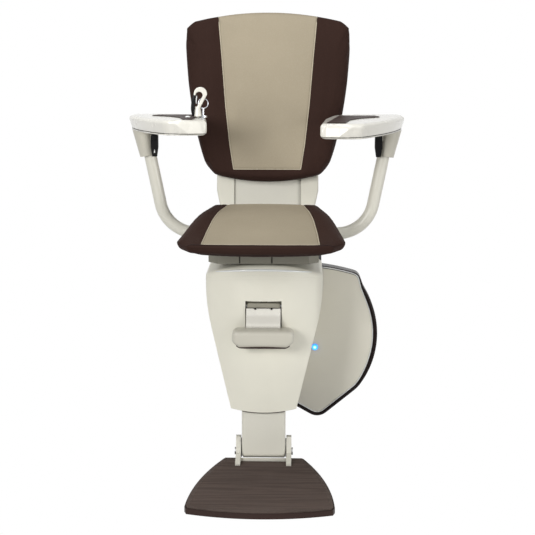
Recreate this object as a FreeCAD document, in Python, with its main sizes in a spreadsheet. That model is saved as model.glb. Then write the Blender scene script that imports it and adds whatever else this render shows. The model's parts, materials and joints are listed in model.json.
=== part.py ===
import FreeCAD, Part
import os
import re
import Sketcher
from FreeCAD import Placement, Rotation, Vector

# Stair chair on a round rail.  Frame: the origin lies on the rail's axis at the middle of the
# carriage, X runs along the rail, -Y is the way the seated person looks, +Z is up.

doc = FreeCAD.newDocument("StairChair")

# ---------------------------------------------------------------- driving dimensions (mm, deg)
SIZES = {
    # guide rings and carriage round the rail
    "bore_radius": 40.4, "ring_wall": 6.6, "ring_width": 24, "ring_offset": 86, "mouth_near": 12,
    "mouth_drop": 8, "mouth_over": 10,
    "cheek_wall": 13, "plate_reach": 73, "plate_wall": 12, "plate_half": 64, "plate_round": 9,
    "cheek_web": 33, "cheek_web_half": 45,
    "roller_radius": 18, "roller_width": 24, "roller_offset": 45, "roller_lift": 0.1,
    "axle_radius": 6, "collar_lip": 3, "collar_wall": 2, "running_gap": 0.3,
    "roller_bevel": 1.5,
    "pinion_radius": 24, "pinion_drop": 68, "pinion_tooth": 4.5, "pinion_count": 12,
    "pinion_root_half": 1.6, "pinion_mouth_half": 3.4, "gearbox_round": 5,
    "shaft_radius": 8, "gearbox_half": 32, "gearbox_depth": 43, "gearbox_rise": 30,
    "gearbox_fall": 36, "motor_radius": 21.5, "motor_length": 108, "motor_back": 47,
    "motor_drop": 87.5,
    # levelling joint between carriage and chassis
    "spindle_radius": 16, "flange_radius": 30, "flange_wall": 8, "chassis_gap": 5,
    "bush_wall": 7.7, "boss_radius": 45, "boss_length": 32, "spindle_tail": 32,
    # casing, chassis frame and what they hold
    "frame_wall": 8, "casing_depth": 207, "casing_half": 121.5, "casing_foot": 68,
    "casing_bow": 45, "casing_top": 247, "casing_shoulder": 160, "casing_hem": 60,
    "casing_dip": 5, "casing_wall": 3, "casing_corner": 36, "casing_bend": 380,
    "cap_height": 26, "cap_round": 10, "cap_crown": 14,
    "shelf_top": 203, "shelf_half": 103, "shelf_depth": 162, "tray_top": 55, "tray_half": 80,
    "tray_wall": 4.7,
    "rib_wall": 6, "rib_drop": 70, "bracket_half": 50, "levelbox_half": 50, "levelbox_depth": 41.7,
    "levelmotor_radius": 20, "levelmotor_length": 115, "levelmotor_side": 30,
    "levelmotor_gap": 3,
    "battery_wide": 151, "battery_deep": 98, "battery_tall": 65, "battery_front": 290,
    "board_wide": 90, "board_tall": 110, "board_wall": 1.6, "board_stand": 6.4,
    "board_side": 95, "board_low": 75, "standoff_radius": 3, "standoff_inset": 8,
    "chip_wide": 24, "chip_tall": 20, "chip_deep": 4, "screw_radius": 4, "screw_head": 2.5,
    "battery_gap": 0.5, "tray_lip": 2,
    # lever recess and lever
    "recess_half": 37, "recess_low": 115, "recess_high": 171, "recess_depth": 33,
    "recess_wall": 2.5, "lever_pin_radius": 3, "lever_eye": 7, "lever_half": 33.5,
    "lever_wall": 7, "lever_back": 326, "lever_height": 158, "lever_set": 1.5,
    "pad_half": 63, "pad_top": 119, "pad_low": 80, "pad_arch": 4, "pad_side": 14, "pad_heel": 12,
    "pad_reach": 385, "pad_gap": 4, "pad_round": 9, "finger_half": 5,
    "finger_deep": 3, "finger_over": 5, "slot_gap": 1.5, "lever_swing": 40,
    # leg and footrest
    "leg_half": 45.5, "leg_depth": 27, "leg_wall": 3, "leg_bevel": 3, "foot_pivot_y": 321.5,
    "foot_pivot_drop": 156.5, "foot_pin_radius": 5, "foot_head_radius": 8, "foot_arm_wall": 10.5,
    "foot_arm_gap": 2, "foot_arm_rise": 33.5, "foot_arm_half": 6, "foot_arm_toe": 51,
    "foot_head_wall": 2.7, "crank_reach": 20, "crank_half": 4,
    "link_radius": 4, "mat_drop": 14.5, "mat_wall": 2.5, "foot_wall": 5, "foot_rear": 83.5,
    "foot_front": 143, "foot_waist": 124, "foot_length": 300, "foot_bow": 26, "pan_drop": 3.3,
    "pan_wall": 2.2, "pan_gap": 0.6, "bar_front": 345, "bar_wall": 7, "bar_height": 5,
    # swivel
    "swivel_y": 250, "column_radius": 30, "column_flange": 50, "swivel_pin": 20,
    "swivel_plate_wall": 18, "swivel_half": 112, "swivel_front": 352, "tail_half": 75,
    "tail_end": 28, "swivel_bevel": 20, "column_gap": 3,
    "nut_radius": 28, "nut_wall": 4.5, "beam_y": 113, "beam_half": 118, "beam_depth": 28,
    "beam_rise": 21.7, "stop_radius": 8, "stop_side": 60, "stop_y": 330,
    # backrest
    "back_y": 82, "back_z": 384, "back_lean": 9.4, "back_thick": 45, "back_half": 181,
    "back_foot": 118, "back_tall": 372, "back_corner": 12, "board_lift": 22, "board_inset": 14,
    "back_board_wall": 8, "upright_wall": 12, "upright_top": 560, "shell_depth": 24,
    "wing_reach": 114, "wing_foot": 101, "wing_drop": 80, "wing_rise": 18, "wing_set": 2,
    "wing_round": 5,
    # seat
    "hinge_y": 195, "hinge_z": 283, "hinge_pin": 5, "seat_behind": 12, "seat_depth": 367,
    "seat_front_half": 160.5, "seat_rear_half": 114, "seat_bulge": 7, "seat_bow": 18,
    "seat_corner": 44, "seat_corner_in": 24, "seat_low": 297,
    "pan_thick": 6, "cushion_thick": 42, "cushion_round": 12, "cushion_belly": 13, "pan_inset": 17,
    "lug_wall": 12, "lug_in": 95, "lug_half": 9,
    # arm tubes, sockets, armrests and catches
    "tube_radius": 13.5, "tube_foot_z": 273, "tube_lean": 11.1, "tube_corner_x": 220,
    "tube_bend": 80, "tube_rise": 190, "tube_inlet": 38,
    "socket_low": 18.5, "socket_high": 23, "socket_base": 171, "socket_length": 66,
    "socket_shift": 4, "socket_rest": 0.5, "socket_step": 4, "socket_step_y": 9, "ear_fore": 8,
    "ear_drop": 42, "ear_over": 9, "lug_reach": 18, "catch_lug_half": 6,
    "arm_pivot_y": 92, "arm_pivot_z": 510, "arm_pin": 4, "arm_low": 501, "arm_thick": 31,
    "arm_tilt": 1.5, "arm_tip_in": 112, "arm_tip_out": 167, "arm_front": 354,
    "arm_outer": 297, "arm_rear": 84, "arm_round": 9, "arm_belly": 8, "arm_pad_wall": 1.5,
    "arm_elbow_x": 196, "arm_elbow_y": 349, "arm_sweep_x": 259, "arm_sweep_y": 245,
    "arm_tail_y": 128, "arm_tail_in": 8, "arm_tip_set": 9, "arm_heel_x": 190,
    "inlay_tip_in": 126, "inlay_tip_out": 163, "inlay_front": 336, "inlay_left_in": 143,
    "inlay_left_out": 160, "inlay_left_y": 236, "inlay_bend_x": 174, "inlay_bend_y": 262,
    "inlay_mid_x": 198, "inlay_mid_y": 214, "inlay_end_x": 240, "inlay_end_y": 176,
    "inlay_rear": 146, "inlay_heel_x": 156, "arm_inner_x": 142, "arm_inner_y": 118,
    "arm_knee_in": 12, "arm_knee_y": 200, "arm_tip_round": 16, "arm_bend_round": 30,
    "ear_half": 10,
    "ear_gap": 1.5, "arm_lug_x": 267, "catch_x": 241, "catch_z": 484, "catch_half": 8,
    "catch_drop": 40, "catch_wall": 10.5, "catch_pin": 2.5, "catch_over": 8,
    "catch_waist": 20, "catch_taper": 3, "catch_gap": 0.3, "catch_head": 1.5,
    # controls on the left armrest
    "stick_x": 136, "stick_y": 268, "stick_tall": 62, "stick_lift": 0.7, "stick_half": 5,
    "stick_stem": 4, "hook_out": 19, "hook_bend": 16, "hook_crown": 7, "hook_in": 7, "hook_tip": 9,
    "hook_lip": 17, "hook_lip_in": 8, "hook_end_in": 4, "hook_eye": 3.5, "hook_wall": 9.5,
    "hook_throat": 10.5, "hook_round": 1.5,
    "skirt_low": 8, "skirt_high": 5, "skirt_tall": 20, "heel_radius": 3, "heel_rise": 3,
    "button_x": 157, "button_y": 262, "button_half": 6, "button_deep": 4, "button_stroke": 1.5,
    "button_proud": 2.5, "button_sink": 4, "lock_rise": 4, "lock_x": 127, "lock_y": 243, "lock_radius": 8,
    "lock_bore": 2.4, "key_gap": 0.3, "key_ring": 10, "key_wire": 1.1, "key_tall": 18.5,
    # side casing
    "side_depth": 31, "side_inner": 52, "side_outer": 245, "side_top": 206, "side_low": 146,
    "side_hip_x": 117, "side_hip_rise": 37, "side_knee_x": 203, "side_knee_z": 74,
    "side_mid_z": 37, "side_shoulder_x": 214, "side_shoulder_z": 156, "side_crown_x": 203,
    "side_crown_z": 186, "side_peak_x": 100, "side_hip_round": 30, "side_knee_round": 70,
    "side_crown_round": 20,
    "trim_wall": 5.5, "side_wall": 3, "lamp_x": 107.7, "lamp_z": 19.5, "lamp_radius": 7,
    "lamp_depth": 5,
}

# Named places and sizes that follow from the driving ones.
DERIVED = {
    "ring_outer": "bore_radius + ring_wall",
    "cheek_outer": "ring_outer + cheek_wall",
    "carriage_half": "ring_offset + ring_width / 2",
    "roller_height": "bore_radius + roller_lift + roller_radius",
    "carriage_face": "plate_reach + plate_wall",
    "chassis_face": "carriage_face + flange_wall + chassis_gap",
    "casing_back": "chassis_face + boss_length + frame_wall",
    "casing_front": "casing_back + casing_depth",
    "frame_face": "casing_back - frame_wall",
    "bush_bore": "spindle_radius + running_gap",
    "bush_outer": "bush_bore + bush_wall",
    "cap_low": "casing_top - cap_height",
    "shelf_low": "shelf_top - frame_wall",
    "tray_low": "tray_top - tray_wall",
    "leg_top": "-casing_hem",
    "leg_front": "foot_pivot_y + leg_depth / 2",
    "leg_back": "foot_pivot_y - leg_depth / 2",
    "mat_top": "-foot_pivot_drop - mat_drop",
    "mat_low": "mat_top - mat_wall",
    "foot_low": "mat_low - foot_wall",
    "pan_floor": "foot_low - pan_drop",
    "foot_arm_in": "leg_half + foot_arm_gap",
    "foot_arm_out": "foot_arm_in + foot_arm_wall",
    "link_y": "foot_pivot_y - crank_reach",
    "finger_slant": "finger_deep / cos(lever_swing / 2)",
    "link_top": "lever_height - finger_slant - running_gap"
                " + (lever_back - link_y - link_radius) * tan(lever_swing / 2)",
    "swivel_low": "casing_top + column_gap + running_gap",
    "swivel_high": "swivel_low + swivel_plate_wall",
    "beam_high": "swivel_high + beam_rise",
    "board_front": "back_thick + running_gap",
    "upright_front": "board_front + back_board_wall",
    "seat_rear": "hinge_y - seat_behind",
    "seat_front": "seat_rear + seat_depth",
    "pan_top": "seat_low + pan_thick",
    "cushion_low": "pan_top + running_gap",
    "cushion_top": "cushion_low + cushion_thick",
    "tube_setback": "tube_bend * tan((90 - tube_lean) / 2)",
    "tube_start": "tube_corner_x - tube_setback",
    "tube_top_x": "tube_corner_x + tube_rise * tan(tube_lean)",
    "socket_x": "tube_corner_x + socket_base * tan(tube_lean) + socket_shift",
    "recess_back": "casing_front - recess_depth",
    "arm_high": "arm_low + arm_thick",
    "catch_face": "beam_y + lug_reach",
    "catch_front": "catch_face + catch_gap + catch_wall",
}

WORD = re.compile(r"[A-Za-z_]\w*")


def formula(text):
    """Write a formula in words as an expression on the sheet's cells."""
    def swap(match):
        word = match.group(0)
        if word in DERIVED:
            return "(" + formula(DERIVED[word]) + ")"
        if word in SIZES:
            return "Sizes." + word
        return word
    return WORD.sub(swap, str(text))


# ---------------------------------------------------------------- sheet and small helpers
sheet = doc.addObject("Spreadsheet::Sheet", "Sizes")
for row, (word, number) in enumerate(SIZES.items(), start=1):
    sheet.set("A%d" % row, word)
    sheet.set("B%d" % row, str(number))
    sheet.setAlias("B%d" % row, word)
doc.recompute()

PLANE_AXES = {"XY": (0, 1, 2), "XZ": (0, 2, 1), "YZ": (1, 2, 0)}
ROD_TURN = {
    "X": Rotation(Vector(0, 1, 0), 90),
    "Y": Rotation(Vector(1, 0, 0), -90),
    "Z": Rotation(),
}
NODES = {}


def value(text):
    """Number that a formula gives."""
    result = sheet.evalExpression(formula(text))
    return float(getattr(result, "Value", result))


def bind(thing, prop, text):
    thing.setExpression(prop, formula(text))


def place(piece, x, y, z):
    bind(piece, "Placement.Base.x", x)
    bind(piece, "Placement.Base.y", y)
    bind(piece, "Placement.Base.z", z)


def node(name, piece):
    """Register a finished sub-part under its node name."""
    piece.Label = name
    NODES[name] = piece
    return piece


def mirrored(side, text):
    """Formula of an X coordinate, on the side given as 1 or -1."""
    return "%d * (%s)" % (side, text)


def span(side, inner, outer):
    """(low, high) X pair between two distances from the middle plane, on one side."""
    if side > 0:
        return inner, outer
    return "-(%s)" % outer, "-(%s)" % inner


def side_name(side):
    return "right" if side > 0 else "left"


def box(label, x, y, z):
    """Block between (low, high) formulas along each axis."""
    piece = doc.addObject("Part::Box", label)
    bind(piece, "Length", "(%s) - (%s)" % (x[1], x[0]))
    bind(piece, "Width", "(%s) - (%s)" % (y[1], y[0]))
    bind(piece, "Height", "(%s) - (%s)" % (z[1], z[0]))
    place(piece, x[0], y[0], z[0])
    return piece


def rod(label, axis, low, high, radius, centre):
    """Cylinder along an axis, with its centre line given in the other two axes."""
    piece = doc.addObject("Part::Cylinder", label)
    piece.Placement = Placement(Vector(), ROD_TURN[axis])
    bind(piece, "Radius", radius)
    bind(piece, "Height", "(%s) - (%s)" % (high, low))
    base = list(centre)
    base.insert("XYZ".index(axis), low)
    place(piece, *base)
    return piece


def join(label, *pieces):
    piece = doc.addObject("Part::MultiFuse", label)
    piece.Shapes = list(pieces)
    return piece


def cut(label, base, *tools):
    piece = doc.addObject("Part::Cut", label)
    piece.Base = base
    piece.Tool = tools[0] if len(tools) == 1 else join(label + "_tools", *tools)
    return piece


def overlap(label, first, second):
    piece = doc.addObject("Part::MultiCommon", label)
    piece.Shapes = [first, second]
    return piece


def group(label, *pieces):
    """Separate solids that share a node."""
    piece = doc.addObject("Part::Compound", label)
    piece.Links = list(pieces)
    return piece


def rectangle(u, v):
    return [(u[0], v[0]), (u[1], v[0]), (u[1], v[1]), (u[0], v[1])]


def fix_point(sketch, geometry, position, u, v):
    """Tie one point of a sketch to the formulas of its two coordinates."""
    for kind, text in (("DistanceX", u), ("DistanceY", v)):
        rule = Sketcher.Constraint(kind, -1, 1, geometry, position, value(text))
        index = sketch.addConstraint(rule)
        sketch.setExpression("Constraints[%d]" % index, formula(text))


def add_circle(sketch, u, v, radius):
    centre = Vector(value(u), value(v), 0)
    circle = sketch.addGeometry(Part.Circle(centre, Vector(0, 0, 1), value(radius)), False)
    fix_point(sketch, circle, 3, u, v)
    index = sketch.addConstraint(Sketcher.Constraint("Radius", circle, value(radius)))
    sketch.setExpression("Constraints[%d]" % index, formula(radius))


def add_edge(sketch, start, end, via):
    """Add a line, or an arc through via; give (geometry, start position, end position)."""
    if via is None:
        return sketch.addGeometry(Part.LineSegment(start, end), False), 1, 2
    through = Vector(value(via[0]), value(via[1]), 0)
    bend = Part.ArcOfCircle(start, through, end)
    anticlockwise = (through - start).cross(end - through).z > 0
    first, last = (start, end) if anticlockwise else (end, start)
    circle = Part.Circle(bend.Center, Vector(0, 0, 1), bend.Radius)
    arc = Part.ArcOfCircle(circle, circle.parameter(first), circle.parameter(last))
    geometry = sketch.addGeometry(arc, False)
    point = sketch.addGeometry(Part.Point(through), True)
    fix_point(sketch, point, 1, *via)
    sketch.addConstraint(Sketcher.Constraint("PointOnObject", point, 1, geometry))
    return (geometry, 1, 2) if anticlockwise else (geometry, 2, 1)


def add_outline(sketch, path, closed=True):
    """Outline of corners (u, v); a step ("arc", u, v) bends the edge that leaves a corner."""
    corners = []
    for step in path:
        if step[0] == "arc":
            corners[-1] = (corners[-1][0], step[1:])
        else:
            corners.append((step, None))
    spots = [Vector(value(corner[0]), value(corner[1]), 0) for corner, _ in corners]
    count = len(corners) if closed else len(corners) - 1
    edges = []
    for index in range(count):
        after = (index + 1) % len(corners)
        edges.append(add_edge(sketch, spots[index], spots[after], corners[index][1]))
    for index, (geometry, start, end) in enumerate(edges):
        fix_point(sketch, geometry, start, *corners[index][0])
        if index + 1 < count or closed:
            following = edges[(index + 1) % count]
            rule = Sketcher.Constraint("Coincident", geometry, end, following[0], following[1])
            sketch.addConstraint(rule)
        else:
            fix_point(sketch, geometry, end, *corners[-1][0])


def new_sketch(body, plane, level, loops, closed=True):
    """Sketch parallel to an origin plane of its body, at a level along that plane's axis."""
    sketch = body.newObject("Sketcher::SketchObject", body.Name + "_sketch")
    role = plane + "_Plane"
    origin = [part for part in body.Origin.OriginFeatures if part.Role == role][0]
    sketch.AttachmentSupport = [(origin, "")]
    sketch.MapMode = "FlatFace"
    offset = "-(%s)" % level if plane == "XZ" else level
    bind(sketch, "AttachmentOffset.Base.z", offset)
    for loop in loops:
        if loop[0] == "circle":
            add_circle(sketch, *loop[1:])
        else:
            add_outline(sketch, loop, closed)
    return sketch


def prism(label, plane, low, high, *loops):
    """Body padded square to a plane between two levels."""
    body = doc.addObject("PartDesign::Body", label)
    start = high if plane == "XZ" else low
    pad = body.newObject("PartDesign::Pad", label + "_pad")
    sketch = new_sketch(body, plane, start, loops)
    pad.Profile = sketch
    bind(pad, "Length", "(%s) - (%s)" % (high, low))
    body.Tip = pad
    return body


def all_upright(plane, *spots):
    """Choose the straight edges square to a plane, all of them or those at (u, v) spots."""
    first, second, along = PLANE_AXES[plane]
    wanted = [(value(u), value(v)) for u, v in spots]

    def choose(edge):
        if edge.Curve.TypeId != "Part::GeomLine":
            return False
        if abs(abs(edge.Curve.Direction[along]) - 1) > 1e-6:
            return False
        middle = edge.CenterOfMass
        if not wanted:
            return True
        return any(abs(middle[first] - u) + abs(middle[second] - v) < 0.5 for u, v in wanted)
    return choose


def rim(plane, level):
    """Choose the edges that lie wholly at one level of a plane's axis."""
    along = PLANE_AXES[plane][2]
    height = value(level)

    def choose(edge):
        spots = [edge.valueAt(edge.ParameterRange[0]), edge.valueAt(edge.ParameterRange[1])]
        spots.append(edge.CenterOfMass)
        return all(abs(spot[along] - height) < 0.01 for spot in spots)
    return choose


def dress(body, kind, prop, size, choose):
    """Fillet or chamfer the chosen edges of a body."""
    doc.recompute()
    base = body.Tip
    names = []
    for index, edge in enumerate(base.Shape.Edges, start=1):
        if choose(edge):
            names.append("Edge%d" % index)
    feature = body.newObject("PartDesign::" + kind, body.Name + "_" + kind.lower())
    feature.Base = (base, names)
    bind(feature, prop, size)
    body.Tip = feature
    return body


def fillet(body, radius, choose):
    return dress(body, "Fillet", "Radius", radius, choose)


def chamfer(body, size, choose):
    return dress(body, "Chamfer", "Size", size, choose)


def hollow(body, wall, plane, *levels):
    """Shell a body inwards, open at the faces that lie at the given levels."""
    doc.recompute()
    base = body.Tip
    along = PLANE_AXES[plane][2]
    heights = [value(level) for level in levels]
    names = []
    for index, face in enumerate(base.Shape.Faces, start=1):
        flat = abs(abs(face.normalAt(0, 0)[along]) - 1) < 1e-6
        if flat and any(abs(face.CenterOfMass[along] - height) < 0.01 for height in heights):
            names.append("Face%d" % index)
    feature = body.newObject("PartDesign::Thickness", body.Name + "_shell")
    feature.Base = (base, names)
    bind(feature, "Value", wall)
    feature.Reversed = True
    body.Tip = feature
    return body


# ---------------------------------------------------------------- carriage on the rail
def mouth(label, x, radius):
    """Block that opens a ring behind and below, where the rail's brackets pass."""
    return box(label, x, ("mouth_near", "%s + mouth_over" % radius),
               ("-(%s) - mouth_over" % radius, "-mouth_drop"))


def guide_rings():
    rings = []
    for side in (-1, 1):
        name = "guide_ring_" + side_name(side)
        x = span(side, "ring_offset - ring_width / 2", "carriage_half")
        blank = rod(name + "_blank", "X", x[0], x[1], "ring_outer", ("0", "0"))
        bore = rod(name + "_bore", "X", x[0], x[1], "bore_radius", ("0", "0"))
        rings.append(cut(name, blank, bore, mouth(name + "_mouth", x, "ring_outer")))
    node("guide_rings", group("guide_rings", *rings))


def carriage_frame():
    plate = prism(
        "carriage_plate", "XZ", "-carriage_face", "-plate_reach",
        rectangle(("-carriage_half", "carriage_half"), ("-plate_half", "plate_half")),
        ("circle", "0", "0", "spindle_radius"))
    fillet(plate, "plate_round", all_upright(
        "XZ", ("-carriage_half", "-plate_half"), ("carriage_half", "-plate_half"),
        ("carriage_half", "plate_half"), ("-carriage_half", "plate_half")))
    cheeks = []
    for side in (-1, 1):
        name = "cheek_" + side_name(side)
        x = span(side, "ring_offset - ring_width / 2", "carriage_half")
        hoop = rod(name + "_hoop", "X", x[0], x[1], "cheek_outer", ("0", "0"))
        web = box(name + "_web", x, ("-plate_reach", "-plate_reach + cheek_web"),
                  ("-cheek_web_half", "cheek_web_half"))
        bore = rod(name + "_bore", "X", x[0], x[1], "ring_outer", ("0", "0"))
        blank = join(name + "_blank", hoop, web)
        cheeks.append(cut(name, blank, bore, mouth(name + "_mouth", x, "cheek_outer")))
    node("carriage_frame", join("carriage_frame", plate, *cheeks))


def roller_places():
    for level, rise in (("upper", 1), ("lower", -1)):
        for side in (-1, 1):
            centre = (mirrored(side, "roller_offset"), "%d * roller_height" % rise)
            yield level + "_" + side_name(side), centre


def rollers():
    axles = []
    for place_name, centre in roller_places():
        name = "roller_" + place_name
        wheel = prism(
            name, "XZ", "-roller_width / 2", "roller_width / 2",
            ("circle", centre[0], centre[1], "roller_radius"),
            ("circle", centre[0], centre[1], "axle_radius + running_gap"))
        chamfer(wheel, "roller_bevel", rim("XZ", "roller_width / 2"))
        node(name, wheel)
        end = "roller_width / 2 + running_gap"
        axle = rod("axle_" + place_name, "Y", "-plate_reach", end, "axle_radius", centre)
        collar = rod("collar_" + place_name, "Y", end, end + " + collar_wall",
                     "axle_radius + collar_lip", centre)
        axles.append(join("axle_assembly_" + place_name, axle, collar))
    node("roller_axles", group("roller_axles", *axles))


def drive():
    gear = prism(
        "drive_pinion", "XZ", "-roller_width / 2", "roller_width / 2",
        ("circle", "0", "0", "pinion_radius"),
        ("circle", "0", "0", "shaft_radius + running_gap"))
    gap = gear.newObject("PartDesign::Pocket", "pinion_gap")
    gap.Profile = new_sketch(gear, "XZ", "-roller_width / 2", [[
        ("-pinion_root_half", "pinion_radius - pinion_tooth"),
        ("pinion_root_half", "pinion_radius - pinion_tooth"),
        ("pinion_mouth_half", "pinion_radius + 1"), ("-pinion_mouth_half", "pinion_radius + 1")]])
    bind(gap, "Length", "roller_width")
    gap.Reversed = False
    gear.Tip = gap
    doc.recompute()
    teeth = gear.newObject("PartDesign::PolarPattern", "pinion_teeth")
    teeth.Originals = [gap]
    axis = [part for part in gear.Origin.OriginFeatures if part.Role == "Y_Axis"][0]
    teeth.Axis = (axis, [""])
    teeth.Angle = 360
    bind(teeth, "Occurrences", "pinion_count")
    gear.Tip = teeth
    place(gear, "0", "0", "-pinion_drop")
    node("drive_pinion", gear)

    gearbox = prism(
        "drive_gearbox", "XZ", "-plate_reach", "-plate_reach + gearbox_depth",
        rectangle(("-gearbox_half", "gearbox_half"),
                  ("-pinion_drop - gearbox_fall", "-pinion_drop + gearbox_rise")))
    fillet(gearbox, "gearbox_round", all_upright("XZ"))
    motor = rod("drive_motor", "X", "gearbox_half - 2", "gearbox_half + motor_length",
                "motor_radius", ("-motor_back", "-motor_drop"))
    end = "roller_width / 2 + running_gap"
    shaft = rod("drive_shaft", "Y", "-plate_reach + gearbox_depth - 2", end, "shaft_radius",
                ("0", "-pinion_drop"))
    cap = rod("drive_shaft_cap", "Y", end, end + " + collar_wall", "shaft_radius + collar_lip",
              ("0", "-pinion_drop"))
    node("drive_gearmotor", join("drive_gearmotor", gearbox, motor, shaft, cap))


def levelling():
    centre = ("0", "0")
    spindle = rod("spindle_bar", "Y", "-casing_back - spindle_tail", "-plate_reach",
                  "spindle_radius", centre)
    flange = rod("spindle_flange", "Y", "-carriage_face - flange_wall", "-carriage_face",
                 "flange_radius", centre)
    node("levelling_spindle", join("levelling_spindle", spindle, flange))
    node("levelling_bush", prism(
        "levelling_bush", "XZ", "-casing_back", "-chassis_face",
        ("circle", "0", "0", "bush_outer"), ("circle", "0", "0", "bush_bore")))
    gearbox = prism(
        "level_gearbox", "XZ", "-casing_back - levelbox_depth", "-casing_back",
        rectangle(("-levelbox_half", "levelbox_half"), ("-levelbox_half", "levelbox_half")),
        ("circle", "0", "0", "bush_bore"))
    fillet(gearbox, "gearbox_round", all_upright(
        "XZ", ("-levelbox_half", "-levelbox_half"), ("levelbox_half", "-levelbox_half"),
        ("levelbox_half", "levelbox_half"), ("-levelbox_half", "levelbox_half")))
    motor = rod("level_motor", "Z", "levelbox_half - 1", "levelbox_half + levelmotor_length",
                "levelmotor_radius", ("levelmotor_side", "-casing_back - levelbox_depth / 2"))
    node("levelling_gearmotor", join("levelling_gearmotor", gearbox, motor))


# ---------------------------------------------------------------- chassis inside the casing
def casing_side(inset, top):
    """Front outline of the casing: upright sides, a shoulder bend and a tapered lower half."""
    half = "(casing_half - %s)" % inset
    foot = "(casing_foot - %s)" % inset
    return [
        ("-" + foot, "-casing_hem"), ("arc", "0", "-casing_hem - casing_dip"),
        (foot, "-casing_hem"), (half, "casing_shoulder"), (half, top),
        ("-" + half, top), ("-" + half, "casing_shoulder")]


def casing_plan(inset):
    """Plan outline of the casing: flat sides and a bowed front."""
    half = "casing_half - (%s)" % inset
    return [
        ("-(%s)" % half, "-casing_back"), ("-(%s)" % half, "-casing_front + casing_bow"),
        ("arc", "0", "-casing_front + (%s)" % inset), (half, "-casing_front + casing_bow"),
        (half, "-casing_back")]


def round_corners(body, inset):
    half = "casing_half - (%s)" % inset
    spot = "-casing_front + casing_bow"
    return fillet(body, "casing_corner - (%s)" % inset,
                  all_upright("XY", (half, spot), ("-(%s)" % half, spot)))


def chassis_frame():
    plate = prism(
        "frame_plate", "XZ", "-casing_back", "-frame_face",
        casing_side("1", "casing_top - cap_crown - 1"), ("circle", "0", "0", "bush_outer"))
    boss = prism(
        "frame_boss", "XZ", "-frame_face - 1", "-chassis_face",
        ("circle", "0", "0", "boss_radius"), ("circle", "0", "0", "bush_outer"))
    behind = ("-casing_back - 0.5", "-casing_back + 0.5")
    shelf = box("frame_shelf", ("-shelf_half", "shelf_half"),
                ("-casing_back - shelf_depth", behind[1]), ("shelf_low", "shelf_top"))
    tray = box("frame_tray", ("-tray_half", "tray_half"),
               ("-battery_front - tray_lip", behind[1]), ("tray_low", "tray_top"))
    well = box("frame_tray_well", ("levelmotor_side - levelmotor_radius - levelmotor_gap",
                                   "levelmotor_side + levelmotor_radius + levelmotor_gap"),
               ("-casing_back - levelbox_depth", "-casing_back + 1"),
               ("tray_low - 1", "tray_top + 1"))
    bracket = box("frame_bracket", ("-bracket_half", "bracket_half"),
                  ("-leg_front + 5", behind[1]), ("-casing_hem", "-casing_hem + frame_wall"))
    link_hole = rod("frame_link_hole", "Z", "-casing_hem - 1", "-casing_hem + frame_wall + 1",
                    "link_radius + running_gap", ("0", "-link_y"))
    ribs = []
    for side in (-1, 1):
        x = span(side, "shelf_half - rib_wall", "shelf_half")
        ribs.append(prism(
            "frame_rib_" + side_name(side), "YZ", x[0], x[1],
            [(behind[1], "shelf_low + 1"), (behind[1], "shelf_low - rib_drop"),
             ("-casing_back - shelf_depth / 2", "shelf_low + 1")]))
    blank = join("frame_blank", plate, boss, shelf, cut("frame_tray_cut", tray, well), bracket, *ribs)
    node("chassis_frame", cut("chassis_frame", blank, link_hole))


def batteries():
    x = ("-battery_wide / 2", "battery_wide / 2")
    y = ("-battery_front", "-battery_front + battery_deep")
    cells = []
    for index, low in enumerate(("tray_top", "tray_top + battery_tall + battery_gap")):
        cells.append(box("battery_%d" % index, x, y, (low, low + " + battery_tall")))
    node("batteries", group("batteries", *cells))


def control_board():
    x = ("-board_side", "-board_side + board_wide")
    face = "-casing_back - board_stand"
    z = ("board_low", "board_low + board_tall")
    board = box("board_sheet", x, (face + " - board_wall", face), z)
    chips = []
    for index, (left, low) in enumerate((("12", "20"), ("46", "24"), ("30", "66"))):
        chips.append(box(
            "board_chip_%d" % index,
            ("-board_side + %s" % left, "-board_side + %s + chip_wide" % left),
            (face + " - board_wall - chip_deep", face + " - board_wall / 2"),
            ("board_low + %s" % low, "board_low + %s + chip_tall" % low)))
    posts = []
    for column in ("-board_side + standoff_inset", "-board_side + board_wide - standoff_inset"):
        for row in ("board_low + standoff_inset", "board_low + board_tall - standoff_inset"):
            posts.append(rod("board_post_%d" % len(posts), "Y", face, "-casing_back",
                             "standoff_radius", (column, row)))
    node("control_board", join("control_board", board, *chips, *posts))


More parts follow.
